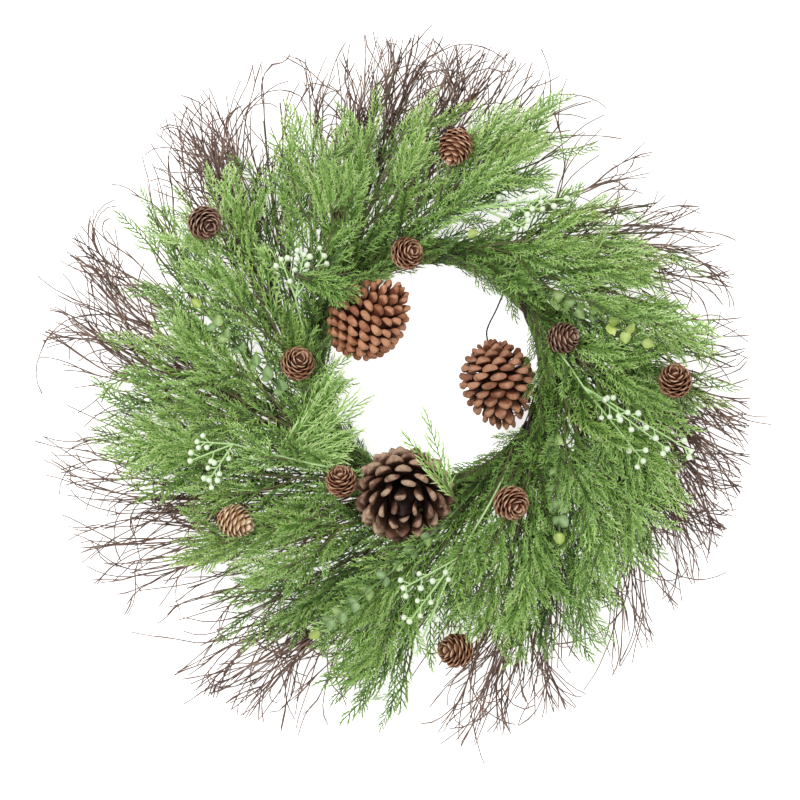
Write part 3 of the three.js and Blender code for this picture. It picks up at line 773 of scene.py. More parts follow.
# %% [markdown]
# Fresh cedar is brown-green along its stems, dark where it is old and pale at the growing tips. The ramp
# reads how fresh each point is, a little noise breaks it up, and every fan has a tint of its own, which also
# carries painted light and shade. The back sprays use a darker copy of the green: painted shade for where
# they lie under the front ones. The scales show as a fine bump.

# %% Finish the cedar
CEDAR_STOPS = [(0.0, "62613a"), (0.12, "3d5525"), (0.45, "77a345"), (0.8, "a8cf70"), (1.0, "d0e9a2")]
# The back stops are the same greens darker: painted shade for the sprays that lie under the front cedar.
SHADED_BACK_STOPS = [(0.0, "575438"), (0.12, "2d411b"), (0.45, "618c39"), (0.8, "9bc469"), (1.0, "c4df98")]
GOLDEN = "d8c24a"
GOLDEN_DEPTH = 0.5
GOLDEN_SHARE = 0.55
TINT_AND_LIGHT_SPREAD = 0.66
TINT_AND_LIGHT_MIDDLE = 0.27
CEDAR_MOTTLING = 0.22


def cedar_finish(name, stops):
    """Green that runs from old to fresh, with some fans more golden than others."""
    finish = Finish(name, roughness=0.6)
    # The shade a fan carries is its own tint plus painted light and shade, added to how fresh each point is.
    youth_and_painted_light = finish.carried("tip") + TINT_AND_LIGHT_SPREAD * finish.carried("shade") - TINT_AND_LIGHT_MIDDLE
    youth_and_painted_light = youth_and_painted_light + CEDAR_MOTTLING * (finish.noise(scale=420.0, detail=1.0) - NOISE_MEAN)
    green = finish.ramp(youth_and_painted_light, stops)
    golden = finish.mix(GOLDEN_DEPTH, green, GOLDEN, "MULTIPLY")
    finish.colour(finish.mix(finish.carried("warm") * GOLDEN_SHARE, green, golden))
    finish.bump(finish.noise(scale=900.0, detail=1.0), depth=0.0004, strength=0.6)
    return finish


front_cedar = cedar_finish("front_cedar", CEDAR_STOPS)
# The back sprays get the darker copy as painted shade.
shaded_back_cedar = cedar_finish("shaded_back_cedar", SHADED_BACK_STOPS)
print("finished", front_cedar.material.name, "and", shaded_back_cedar.material.name)

# %% [markdown]
# The outline of the greenery has lobes: a few waves round a circle describe it. A fan that would pass it is
# made shorter. One that would stand out in front is bent down, and one that would cover a cone dips under
# it or is left out. A fan's tint is partly chance and partly painted light: painted shade near the ring,
# painted light towards the outline and on the upper side.

# %% Put one fan in its place
EDGE_MEAN = 0.238
EDGE_WAVES = [
    {"lobes": 1, "size": 0.035, "side": 237}, {"lobes": 4, "size": 0.010, "side": 301},
    {"lobes": 6, "size": 0.0137, "side": 54}, {"lobes": 7, "size": 0.0086, "side": 335},
    {"lobes": 8, "size": 0.0133, "side": 173},
]
FULL_SHARE = 0.91
WISPY = 0.26
SMALLEST_FAN = 0.36
FAN_TOP = 0.086
FAN_FLOOR = 0.008
# Painted light in the tint of a fan: darker near the ring, lighter outwards and on the upper side.
OUTER_FROM = 0.100
OUTER_OVER = 0.130
TINT_BY_CHANCE = 0.45
PAINTED_LIGHT_BY_PLACE = 0.55
PAINTED_LIGHT_ABOVE = 0.5
WARMTH = (-0.8, 1.0)


def angle_of(place):
    """The direction of a point from the ring's middle."""
    offset = place - RING_MIDDLE
    return math.atan2(offset.y, offset.x)


def from_middle(place):
    """How far a point is from the ring's middle, seen from above."""
    return (place - RING_MIDDLE).xy.length


def green_edge(place):
    """How far from the middle the greenery reaches in the direction of a point."""
    angle = angle_of(place)
    return EDGE_MEAN + sum(
        wave["size"] * math.cos(wave["lobes"] * angle - math.radians(wave["side"])) for wave in EDGE_WAVES
    )


def add_fan(bm, rng, start, way, size, roll):
    """Puts a fan in place, inside the edge of the greenery, and gives it its own tint."""
    end = start + way * FAN_LENGTH * size
    beyond = from_middle(end) - green_edge(end) * (FULL_SHARE + WISPY * rng.random() ** 2)
    if beyond > 0:
        size -= beyond / FAN_LENGTH
        if size < SMALLEST_FAN:
            return
    highest = (FAN_TOP - start.z) / (FAN_LENGTH * size)
    if way.z > highest:
        way = with_rise(way, highest)
    way = kept_down(start, way, FAN_LENGTH * size)
    if way is None:
        return
    lowest = (FAN_FLOOR - start.z) / (FAN_LENGTH * size)
    if way.z < lowest:
        way = with_rise(way, lowest)
    fan = add(bm, rng.choice(FANS), laid(start, way, size, size, roll))
    # outer and higher paint light into the fan's tint: painted shade near the ring, painted light outwards
    # and higher up.
    outer = min(1.0, max(0.0, (from_middle(end) - OUTER_FROM) / OUTER_OVER))
    higher = end.y - RING_MIDDLE.y
    shade = TINT_BY_CHANCE * rng.random() + PAINTED_LIGHT_BY_PLACE * outer + PAINTED_LIGHT_ABOVE * higher
    paint(bm, fan, shade=shade, warm=max(0.0, rng.uniform(*WARMTH)))


reaches = [round(green_edge(from_ring(side, 0)) * 1000) for side in (-1, 1)]
print("the greenery reaches, in mm, to the left and to the right:", reaches)

# %% [markdown]
# A spray is a stem with side branches, and fans to both sides of all of them. Short fans are also pushed
# straight into the ring round the root of each spray, because a florist hides the ring with them. The
# sprays that are rooted on the left have fewer fans.

# %% Grow a spray
STEM_RADIUS = 0.0018
STEM_END_RADIUS = 0.0006
STEM_FANS = {"first": 0.012, "last": 0.020, "step": 0.0098, "sizes": (0.78, 1.12)}
BRANCHES = 5
BRANCHES_FROM = 0.22
BRANCHES_OVER = 0.54
BRANCH_LENGTH = (0.055, 0.080)
BRANCH_STRETCHES = 4
BRANCH_TURN = 30
BRANCH_STRAIGHTENS = 9
BRANCH_UNRULY = 5
BRANCH_LIFT = (-0.06, 0.14)
BRANCH_LEVELS = 0.5
BRANCH_THICK = 1.6
BRANCH_THINS = 0.7
BRANCH_FANS = {"first": 0.018, "last": 0.012, "step": 0.0125, "sizes": (0.55, 0.85)}
FAN_TURN = (15, 42)
FAN_ROLL = 0.7
END_TURNS = (-0.3, 0.0, 0.3)
END_SIZE = 0.9
END_UNRULY = 0.1
END_ROLL = 0.4
UNEVEN_STEPS = (0.8, 1.2)
COLLAR = {
    "count": 8, "sizes": (0.6, 0.95),
    "ranges": {"off": (-17, 17), "radius": (0.089, 0.110), "lean": (52, 100), "rise": (-4, 20)},
}
INNER_FANS = {
    "count": 5, "sizes": (0.4, 0.66),
    "ranges": {"off": (-16, 16), "lean": (98, 136), "rise": (-2, 12), "radius": (0.094, 0.104)},
}
RING_FAN_ROLL = 0.6
SPACING_MEAN = 1.03
SPARSE_SIDE = math.radians(155)
SPARSER_BY = 0.26


def fans_along(bm, rng, line, lifts, spacing, first, last, step, sizes):
    """Fans to both sides of a line of points, and three at its end."""
    distances = along(line)
    where, side = first, rng.choice((-1, 1))
    while where < distances[-1] - last:
        start, way = point_at(line, distances, where)
        way = turned(way, side * math.radians(rng.uniform(*FAN_TURN)), math.radians(rng.uniform(*lifts)))
        add_fan(bm, rng, start, way, rng.uniform(*sizes), rng.uniform(-FAN_ROLL, FAN_ROLL))
        where += step * spacing * rng.uniform(*UNEVEN_STEPS)
        side = -side
    start, way = point_at(line, distances, distances[-1] - last)
    for turn in END_TURNS:
        off = turned(way, turn + rng.uniform(-END_UNRULY, END_UNRULY), 0)
        add_fan(bm, rng, start, off, rng.uniform(*sizes) * END_SIZE, rng.uniform(-END_ROLL, END_ROLL))


def side_branch(rng, start, way, length):
    """A branch that leaves a stem and bends back to run beside it."""
    side = rng.choice((-1, 1))
    lift = rng.uniform(*BRANCH_LIFT)
    points = [start]
    for k in range(BRANCH_STRETCHES):
        straighter = BRANCH_TURN - BRANCH_STRAIGHTENS * k
        turn = side * math.radians(straighter + rng.uniform(-BRANCH_UNRULY, BRANCH_UNRULY))
        onward = turned(way, turn, lift * (1 - BRANCH_LEVELS * k))
        points.append(points[-1] + onward * length / BRANCH_STRETCHES)
    return smoothed(points, 2)


def fans_in_ring(bm, rng, root, heights, count, sizes, ranges):
    """Fans pushed into the ring round a root. The ranges say how each of them may stand."""
    for _ in range(count):
        fan = {name: rng.uniform(*limits) for name, limits in ranges.items()}
        angle = root + math.radians(fan["off"])
        way = leaning(angle, math.radians(fan["lean"]), math.radians(fan["rise"]))
        place = round_ring(angle, fan["radius"], rng.uniform(*heights))
        add_fan(bm, rng, place, way, rng.uniform(*sizes), rng.uniform(-RING_FAN_ROLL, RING_FAN_ROLL))


def grow_spray(name, root, reach, row):
    """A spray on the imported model's own stem."""
    rng = random.Random(name)
    bm = new_bmesh("tip", "shade", "warm")
    stem = smoothed(stem_path(root, row["layer"], reach), 3)
    distances = along(stem)
    length = distances[-1]
    strands = [(stem, [STEM_RADIUS + (STEM_END_RADIUS - STEM_RADIUS) * d / length for d in distances])]
    spacing = SPACING_MEAN + SPARSER_BY * math.cos(root - SPARSE_SIDE)
    fans_along(bm, rng, stem, row["lifts"], spacing, **STEM_FANS)
    for k in range(BRANCHES):
        share = BRANCHES_FROM + BRANCHES_OVER * (k + rng.random()) / BRANCHES
        start, way = point_at(stem, distances, length * share)
        branch = side_branch(rng, start, way, rng.uniform(*BRANCH_LENGTH))
        count = len(branch)
        radii = [STEM_END_RADIUS * (BRANCH_THICK - BRANCH_THINS * i / count) for i in range(count)]
        strands.append((branch, radii))
        fans_along(bm, rng, branch, row["lifts"], spacing, **BRANCH_FANS)
    add(bm, rods(strands, sides=6))
    fans_in_ring(bm, rng, root, row["heights"], **COLLAR)
    if row["layer"] is not BACK:
        fans_in_ring(bm, rng, root, row["heights"], **INNER_FANS)
    return finished(to_mesh(bm), name.replace("cedar", "cedar_spray"), row["finish"], row["slot"], name)


print("fans pushed straight into the ring for each front spray:", COLLAR["count"] + INNER_FANS["count"])

# %% [markdown]
# There are 24 sprays, eleven behind, one tucked under a cone and twelve in front. Each grows from the root
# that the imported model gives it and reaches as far.

# %% Grow all the sprays
CEDAR_LOPSIDED = 0.026
UNEVEN_REACH = 0.008
DRAWS_PER_LAYER = 40
CEDAR_LAYERS = [
    {"kind": "cedar_back", "roots": [12, 45, 78, 111, 143, 175, 208, 240, 284, 313, 345],
     "layer": BACK, "finish": shaded_back_cedar, "slot": "cedar_back",
     "reach": 0.248, "lifts": (-10, 14), "heights": (0.022, 0.036)},
    {"kind": "cedar_tucked", "roots": [271],
     "layer": TUCKED, "finish": front_cedar, "slot": "cedar_front",
     "reach": 0.226, "lifts": (-8, 6), "heights": (0.020, 0.030)},
    {"kind": "cedar_front", "roots": [0, 23, 58, 78, 115, 140, 163, 190, 223, 247, 303, 329],
     "layer": FRONT, "finish": front_cedar, "slot": "cedar_front",
     "reach": 0.226, "lifts": (-12, 16), "heights": (0.030, 0.054)},
]

foliage = []
for level, row in enumerate(CEDAR_LAYERS, start=1):
    for i, degrees in enumerate(row["roots"]):
        root = math.radians(degrees)
        mean_reach = reach_of(root, row["reach"], CEDAR_LOPSIDED)
        reach = mean_reach + UNEVEN_REACH * draw(DRAWS_PER_LAYER * level + i, 1)
        foliage.append(grow_spray(f"{row['kind']}_{i + 1}", root, reach, row))
print("the cedar has", sum(triangles_in(piece.data) for piece in foliage), "triangles")

# %% [markdown]
# Single sprigs of cedar reach from the ring over the cones on its inner edge and into the open middle:
# several over the upper left cone, one in front of the lowest, and bunches of them from the left and the
# lower right. Each is a pair of fans at the end of a thin stem that comes out of the ring.

# %% Let single sprigs cross the cones
SPRIG_GROUPS = [
    # pixels of the photograph where the fans start and end, and how far the starts and the ends scatter
    {"start": (310, 270), "start_scatter": (15, 15), "end": (356, 292), "end_scatter": (16, 12),
     "count": 6, "height": 0.080, "fresh": 0.2},
    {"start": (455, 500), "start_scatter": (0, 0), "end": (416, 426), "end_scatter": (0, 0),
     "count": 1, "height": 0.092, "fresh": 0.6},
    {"start": (284, 458), "start_scatter": (12, 12), "end": (346, 414), "end_scatter": (13, 46),
     "count": 10, "height": 0.066, "fresh": 0.7},
    {"start": (302, 386), "start_scatter": (5, 5), "end": (347, 386), "end_scatter": (7, 16),
     "count": 4, "height": 0.058, "fresh": 0.3},
    {"start": (325, 478), "start_scatter": (7, 7), "end": (356, 462), "end_scatter": (10, 26),
     "count": 3, "height": 0.062, "fresh": 0.6},
    {"start": (566, 470), "start_scatter": (17, 17), "end": (526, 454), "end_scatter": (14, 14),
     "count": 4, "height": 0.050, "fresh": 0.3},
]
SPRIG_STEM = 0.0008
SPRIG_STEM_BENDS = 4
SPRIG_BOW = Vector((0, 0, 0.008))
SPRIG_BACK = 0.2
SPRIG_HEIGHTS = (-0.003, 0.003)
SPRIG_RISE = 0.002
SPRIG_FAN_TURNS = (-0.12, 0.12)
SPRIG_FAN_WIDTH = 0.8
SPRIG_FAN_SIZES = (0.8, 1.0)
SPRIG_TINT = 0.35
RING_TOP = 0.020


def scattered(rng, pixel, scatter):
    """A pixel drawn from the ones round a given pixel."""
    return [value + rng.uniform(-share, share) for value, share in zip(pixel, scatter)]


def cross_sprig(bm, rng, group):
    """Adds the fans of a sprig and returns the strand of its stem."""
    height = group["height"] + rng.uniform(*SPRIG_HEIGHTS)
    start = at_pixel(*scattered(rng, group["start"], group["start_scatter"]), height)
    end = at_pixel(*scattered(rng, group["end"], group["end_scatter"]), height + SPRIG_RISE)
    onward = end - start
    in_ring = round_ring(angle_of(start), RING_RADIUS, RING_TOP)
    bend = in_ring.lerp(start, 0.5) - onward * SPRIG_BACK + SPRIG_BOW
    stem = smoothed([in_ring, bend, start, start.lerp(end, 0.3)], SPRIG_STEM_BENDS)
    size = onward.length / FAN_LENGTH
    shade = group["fresh"] + SPRIG_TINT * rng.random()
    for turn in SPRIG_FAN_TURNS:
        way = turned(onward.normalized(), turn, 0)
        length = size * rng.uniform(*SPRIG_FAN_SIZES)
        fan = laid(start, way, length, SPRIG_FAN_WIDTH, rng.uniform(-END_ROLL, END_ROLL))
        paint(bm, add(bm, rng.choice(FANS), fan), shade=shade)
    return stem, [SPRIG_STEM] * len(stem)


sprigs = new_bmesh("tip", "shade", "warm")
sprig_rng = random.Random("sprigs")
sprig_rows = [group for group in SPRIG_GROUPS for _ in range(group["count"])]
sprig_stems = [cross_sprig(sprigs, sprig_rng, group) for group in sprig_rows]
add(sprigs, rods(sprig_stems, sides=4))
finished(to_mesh(sprigs), "cedar_sprigs", front_cedar, "cedar_front")
print("sprigs over the middle:", len(sprig_stems))

# %% [markdown]
# Behind the cedar lie bunches of bare twigs. A thin twig bends a little at every step, more so towards its
# end, and now and then it curls right round. Smaller twigs leave it at small angles, each from a knot, and
# a bud ends some of them. None gets past the outline of the twigs, which reaches furthest at the lower
# left.

# %% Bend the twigs
TWIG_STEP = 0.009
TWIG_RADIUS = 0.0009
TWIG_END_RADIUS = 0.00038
TWIG_EDGE_MEAN = 0.296
TWIG_EDGE_LOPSIDED = 0.036
GENTLE_CURL = 0.38
STRONG_CURL = (1.0, 2.2)
OFTEN_STRONG = 0.14
BEND_UNRULY = 0.08
RISE_KEPT = 0.8
RISE_UNRULY = 0.03
LOWEST_RISE = -0.05
HIGHEST_RISE = 0.09
SIDE_FORKS = 0.24
SIDE_FORK_TURN = (8, 28)
SIDE_FORK_LENGTH = (0.3, 0.65)
SIDE_FORK_LIFT = 0.04
SIDE_FORK_RADIUS = 0.85
BUDS = 0.25


def twig_edge(place):
    """How far from the middle the twigs reach in the direction of a point."""
    return TWIG_EDGE_MEAN + TWIG_EDGE_LOPSIDED * math.cos(angle_of(place) - LONG_SIDE)


def curled(rng, start, way, length, slack=1.0, strong=OFTEN_STRONG):
    """The points of a thin twig. Slack lets it pass the outline, strong is how often it curls round."""
    steps = max(4, round(length / TWIG_STEP))
    curl = rng.gauss(0, GENTLE_CURL)
    if rng.random() < strong:
        curl = rng.choice((-1, 1)) * rng.uniform(*STRONG_CURL)
    points = [start]
    for i in range(steps):
        bend = curl * 2 * (i + 0.5) / steps ** 2 + rng.gauss(0, BEND_UNRULY)
        way = turned(way, bend, 0)
        way.z = max(LOWEST_RISE, min(HIGHEST_RISE, way.z * RISE_KEPT + rng.gauss(0, RISE_UNRULY)))
        points.append(points[-1] + way.normalized() * length / steps)
        if from_middle(points[-1]) > twig_edge(points[-1]) * slack:
            break
    return points


def side_twig(rng, strands, start, way, length, radius, depth):
    """A side twig, and the smaller ones on it."""
    points = curled(rng, start, way, length)
    if len(points) < 3:
        return
    forks = [i for i in range(1, len(points) - 1) if rng.random() < (SIDE_FORKS if depth else 0.0)]
    buds = [len(points) - 2] if rng.random() < BUDS else []
    strands.append((points, thinning(len(points), radius, TWIG_END_RADIUS, forks + buds)))
    for i in forks:
        turn = rng.choice((-1, 1)) * math.radians(rng.uniform(*SIDE_FORK_TURN))
        onward = turned(heading(points, i), turn, SIDE_FORK_LIFT)
        share = length * rng.uniform(*SIDE_FORK_LENGTH)
        side_twig(rng, strands, points[i], onward, share, radius * SIDE_FORK_RADIUS, depth - 1)


trial_twigs = []
trial_way = Vector((1, 0, 0))
side_twig(random.Random("trial"), trial_twigs, RING_MIDDLE, trial_way, 0.1, TWIG_RADIUS, depth=1)
print("a side twig on trial grew", len(trial_twigs), "stems")

# %% [markdown]
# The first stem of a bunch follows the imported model's twig. The others leave the ring to both sides of it
# and sweep out as the cedar does, shorter and a little higher. Two long stray twigs per bunch curl away on
# their own.

# %% Grow the twigs
TWIG_BUNCHES = [
    # degrees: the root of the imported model's twig, and how far round the rest of its bunch is centred
    {"root": 5, "shift": 8, "twigs": 34}, {"root": 41, "shift": -9, "twigs": 34},
    {"root": 77, "shift": 0, "twigs": 22}, {"root": 113, "shift": 15, "twigs": 32},
    {"root": 149, "shift": 2, "twigs": 28}, {"root": 185, "shift": 0, "twigs": 34},
    {"root": 221, "shift": 3, "twigs": 38}, {"root": 257, "shift": 2, "twigs": 42},
    {"root": 293, "shift": 1, "twigs": 46}, {"root": 329, "shift": 7, "twigs": 36},
]
TWIG_REACH = 0.292
TWIG_LOPSIDED = 0.034
TWIG_SCATTER = 7
TWIG_SPREAD = 20
TWIG_SHARE = (0.64, 0.98)
TWIG_LIFT = (0.001, 0.018)
OWN_WANDER = 0.005
OWN_RIPPLE = 0.0015
DRIFT = 0.004
WANDER = 0.003
UNEVEN_LIFT = (0.8, 1.1)
FORKS = 0.26
FORKS_FROM = 8
FORK_TURN = (4, 22)
FORK_LIFT = (-0.02, 0.06)
FORK_LENGTH = (0.035, 0.105)
FORK_RADIUS = 0.62
STRAYS = 2
STRAY_FROM = (0.5, 0.75)
STRAY_TURN = 16
STRAY_LENGTH = (0.12, 0.17)
STRAY_RADIUS = 0.7
STRAY_SLACK = 1.06
STRAYS_STRONG = 0.8
STRAY_KNOTS_FROM = 3
STRAY_KNOT_EVERY = 5


def twig_stem(i, root, reach, lift, rng):
    """The main line of one twig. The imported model's own has no lift."""
    stem = stem_path(root, TWIG, reach)
    drift = rng.uniform(-DRIFT, DRIFT)
    for k in range(2, len(stem)):
        way = heading(stem, k)
        right = Vector((way.y, -way.x, 0)).normalized()
        sideways = OWN_WANDER * draw(i, k) if lift == 0 else drift * (k - 1) + rng.uniform(-WANDER, WANDER)
        upwards = OWN_RIPPLE * draw(k, i) if lift == 0 else lift * rng.uniform(*UNEVEN_LIFT)
        stem[k] += right * sideways + UP * upwards
    return stem


def grow_bunch(i, bunch):
    """One mesh of all the twigs of a bunch."""
    rng = random.Random(f"twigs {i}")
    strands = []
    for member in range(bunch["twigs"]):
        own = member == 0
        off = 0 if own else max(-TWIG_SPREAD, min(TWIG_SPREAD, rng.gauss(bunch["shift"], TWIG_SCATTER)))
        root = math.radians(bunch["root"] + off)
        reach = reach_of(root, TWIG_REACH, TWIG_LOPSIDED) + UNEVEN_REACH * draw(i, 1)
        reach *= 1.0 if own else rng.uniform(*TWIG_SHARE)
        lift = 0 if own else rng.uniform(*TWIG_LIFT)
        stem = smoothed(twig_stem(i, root, reach, lift, rng), 3)
        forks = [k for k in range(FORKS_FROM, len(stem) - 1) if rng.random() < FORKS]
        strands.append((stem, thinning(len(stem), TWIG_RADIUS, TWIG_END_RADIUS, forks)))
        for k in forks:
            side = rng.choice((-1, 1)) * math.radians(rng.uniform(*FORK_TURN))
            way = turned(heading(stem, k), side, rng.uniform(*FORK_LIFT))
            length = rng.uniform(*FORK_LENGTH)
            side_twig(rng, strands, stem[k], way, length, TWIG_RADIUS * FORK_RADIUS, 1)
    stem = strands[0][0]
    for _ in range(STRAYS):
        k = round(len(stem) * rng.uniform(*STRAY_FROM))
        way = turned(heading(stem, k), math.radians(rng.uniform(-STRAY_TURN, STRAY_TURN)), 0)
        stray = curled(rng, stem[k], way, rng.uniform(*STRAY_LENGTH), STRAY_SLACK, STRAYS_STRONG)
        knots = range(STRAY_KNOTS_FROM, len(stray), STRAY_KNOT_EVERY)
        strands.append((stray, thinning(len(stray), TWIG_RADIUS * STRAY_RADIUS, TWIG_END_RADIUS, knots)))
    return rods(strands, sides=4)


bark = Finish("twig_bark", roughness=0.8)
bark_stops = [(0.25, "4b3830"), (0.5, "7b6257"), (0.75, "a88d80")]
bark.colour(bark.ramp(bark.noise(scale=60.0, detail=3.0), bark_stops))
bark.bump(bark.noise(scale=1500.0), depth=0.0003, strength=0.5)

bunches = []
for i, bunch in enumerate(TWIG_BUNCHES):
    mesh = grow_bunch(i, bunch)
    bunches.append(finished(mesh, f"twigs_{i + 1}", bark, "twig", f"twig_bunch_{i + 1}"))
print("the twigs have", sum(triangles_in(piece.data) for piece in bunches), "triangles")

# %% [markdown]
# The ring is a bundle of old vines, twisted round each other. Each vine is a closed curve that winds round
# the middle line of the ring, and its thickness wavers as bark does.

# %% Twist the vines
RING_HEIGHT = 0.012
VINE_STEPS = 150
VINE_SLACK = 0.35
SLACK_WAVES = 3
BURLS = 11
BURL_SIZE = 0.10
BARK_SIZE = 0.07
FLAT_CLEARANCE = 0.0003
VINE_BUNDLE = [
    {"radius": 0.0052, "wander": 0.0066, "turns": 4, "start": 0.0},
    {"radius": 0.0048, "wander": 0.0068, "turns": 4, "start": 2.1},
    {"radius": 0.0055, "wander": 0.0060, "turns": 4, "start": 4.2},
    {"radius": 0.0034, "wander": 0.0082, "turns": 5, "start": 1.2},
    {"radius": 0.0030, "wander": 0.0085, "turns": 5, "start": 3.5},
    {"radius": 0.0026, "wander": 0.0090, "turns": 6, "start": 5.4},
    {"radius": 0.0013, "wander": 0.0107, "turns": 7, "start": 0.7},
    {"radius": 0.0011, "wander": 0.0110, "turns": 9, "start": 2.9},
]


def vine(rng, radius, wander, turns, start):
    """A vine that winds round the ring's middle line, so many turns and so far from it."""
    points, radii = [], []
    ripple = rng.uniform(0, 6.28)
    for step in range(VINE_STEPS):
        angle = 2 * math.pi * step / VINE_STEPS
        turn = turns * angle + start + VINE_SLACK * math.sin(SLACK_WAVES * angle + ripple)
        burl = BURL_SIZE * math.sin(BURLS * angle + ripple)
        thick = radius * (1 + burl + BARK_SIZE * rng.uniform(-1, 1))
        height = max(RING_HEIGHT + wander * math.sin(turn), thick + FLAT_CLEARANCE)
        points.append(round_ring(angle, RING_RADIUS + wander * math.cos(turn), height))
        radii.append(thick)
    return points, radii


vine_rng = random.Random("vines")
vines = rods([vine(vine_rng, **row) for row in VINE_BUNDLE], sides=8, closed=True)
vine_bark = Finish("vine_bark", roughness=0.85)
vine_stops = [(0.25, "2c241e"), (0.5, "54463a"), (0.7, "7d6c5b"), (0.85, "a08f7c")]
vine_bark.colour(vine_bark.ramp(vine_bark.noise(scale=55.0, detail=4.0), vine_stops))
vine_bark.bump(vine_bark.noise(scale=420.0, detail=4.0), depth=0.0012, strength=0.9)
finished(vines, "vines", vine_bark, "vine", "vine_ring")
print("the ring has", triangles_in(vines), "triangles")

# %% [markdown]
# Thin tendrils hold the vines together. They run round the ring for a part of the way, close to it, and
# some of them leave its inner edge for a stretch.

# %% Run thin tendrils round the ring
TENDRILS = 22
TENDRIL_STEP = math.radians(3)
TENDRIL_STEPS = (12, 30)
TENDRIL_RADIUS = 0.0007
TENDRIL_OUT = (0.088, 0.110)
TENDRIL_HEIGHT = (0.010, 0.030)
TENDRIL_BOW = (-0.006, 0.002)
TENDRIL_SWAY = 0.0016
SWAY_WAVES = 5
SWAY_PHASE = 300
TENDRIL_CLIMB = 0.004
CLIMB_WAVES = 7
TENDRIL_THINS = 0.5


def tendril(rng):
    """A strand that runs round a part of the ring, clockwise."""
    angle = rng.uniform(0, 2 * math.pi)
    steps = round(rng.uniform(*TENDRIL_STEPS))
    out = rng.uniform(*TENDRIL_OUT)
    height = rng.uniform(*TENDRIL_HEIGHT)
    bow = rng.uniform(*TENDRIL_BOW)
    points = []
    for k in range(steps):
        share = k / (steps - 1)
        bowed = bow * math.sin(math.pi * share)
        sway = bowed + TENDRIL_SWAY * math.sin(SWAY_WAVES * share + height * SWAY_PHASE)
        climb = TENDRIL_CLIMB * math.sin(CLIMB_WAVES * share)
        points.append(round_ring(angle - k * TENDRIL_STEP, out + sway, height + climb))
    return points, thinning(steps, TENDRIL_RADIUS, TENDRIL_RADIUS * TENDRIL_THINS)


tendril_rng = random.Random("tendrils")
tendrils = rods([tendril(tendril_rng) for _ in range(TENDRILS)], sides=4)
finished(tendrils, "tendrils", bark, "vine")
print("the tendrils have", triangles_in(tendrils), "triangles")

# %% [markdown]
# A scale of an open pine cone is a thin stalk that widens into a shield: broad, thick, bulging, with a
# ridge across it and a small point. It starts as a block, is cut across, and every cut is pulled to the
# width and thickness the scale has there.

# %% Make one woody scale
WOODY_PROFILE = [
    {"along": 0.0, "width": 0.34, "thick": 0.22, "sag": 0.00},
    {"along": 0.35, "width": 0.52, "thick": 0.24, "sag": 0.02},
    {"along": 0.62, "width": 0.84, "thick": 0.30, "sag": 0.05},
    {"along": 0.82, "width": 1.02, "thick": 0.52, "sag": 0.12},
    {"along": 0.94, "width": 0.98, "thick": 0.98, "sag": 0.18},
    {"along": 1.0, "width": 0.60, "thick": 0.58, "sag": 0.14},
]
EDGE_THINNER = 0.45
SHIELD_FROM = 0.8
SHIELD_ROUNDED = 0.12
POINT_FROM = 0.97
POINT_LENGTH = 0.07


def woody_scale():
    """A scale along X, one unit long, wide and thick. Its upper side faces the tip of the cone."""
    bm = bmesh.new()
    bmesh.ops.create_cube(bm, size=1)
    bmesh.ops.translate(bm, vec=HALF_FORWARD, verts=bm.verts)
    for row in WOODY_PROFILE[1:-1]:
        cut(bm, (row["along"], 0, 0), (1, 0, 0))
    cut(bm, HALF_FORWARD, (0, 1, 0))
    cut(bm, HALF_FORWARD, (0, 0, 1))
    tip = bm.verts.layers.float.new("tip")
    for vert in bm.verts:
        x, y, z = vert.co
        nearest = min(WOODY_PROFILE, key=lambda row: abs(row["along"] - x))
        edge = abs(y) * 2
        vert.co.y = y * nearest["width"]
        vert.co.z = z * nearest["thick"] * (1 - EDGE_THINNER * edge) - nearest["sag"] * (1 - edge)
        if x > SHIELD_FROM:
            vert.co.x -= SHIELD_ROUNDED * edge * edge
        if x > POINT_FROM:
            vert.co.x += POINT_LENGTH * (1 - edge) * (1 - 2 * abs(z))
        vert[tip] = x
    return to_mesh(bm, "woody_scale")


WOODY_SCALE = woody_scale()
print("a woody scale has", len(WOODY_SCALE.polygons), "faces")

# %% [markdown]
# The ends of the scales cover an egg evenly. Its blunt ends have more skin to a step of height than its
# middle has, so the scales are shared out by skin and not by height.

# %% Share out the scales of a cone
OUTLINE_STEPS = 200
OUTLINE_SKEW = 0.85
OUTLINE_FULLNESS = 0.6
HALF_WIDTH = 0.45
CORE_SKIN = 0.12


def cone_outline(share):
    """Half the width of a cone as a share of its widest, from its base (0) to its tip (1)."""
    return max(0.0, math.sin(math.pi * share ** OUTLINE_SKEW)) ** OUTLINE_FULLNESS


def slant(place):
    """How much skin a cone has per step of its height, because its ends are blunt."""
    step = 0.5 / OUTLINE_STEPS
    narrowing = (cone_outline(place + step) - cone_outline(place - step)) / (2 * step)
    return math.hypot(1, HALF_WIDTH * narrowing)


def even_shares(count):
    """Places along a cone that spread its scales evenly over it."""
    places = [(k + 0.5) / OUTLINE_STEPS for k in range(OUTLINE_STEPS)]
    weights = [(cone_outline(place) + CORE_SKIN) * slant(place) for place in places]
    whole = sum(weights)
    shares = []
    so_far = 0
    for place, weight in zip(places, weights):
        so_far += weight
        while len(shares) + 0.5 < so_far / whole * count:
            shares.append(place)
    return shares


print("the middle one of 101 scales sits at", round(even_shares(101)[50], 2), "of the height")

# %% [markdown]
# The scales follow a spiral, each 137.5 degrees on from the last. At the base of the cone they look
# backwards, in the middle they stand straight out, and at the tip they look forwards. So each scale takes
# its slope from how far up the cone it sits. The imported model's boxes tell how high above the surface each
# cone lies.

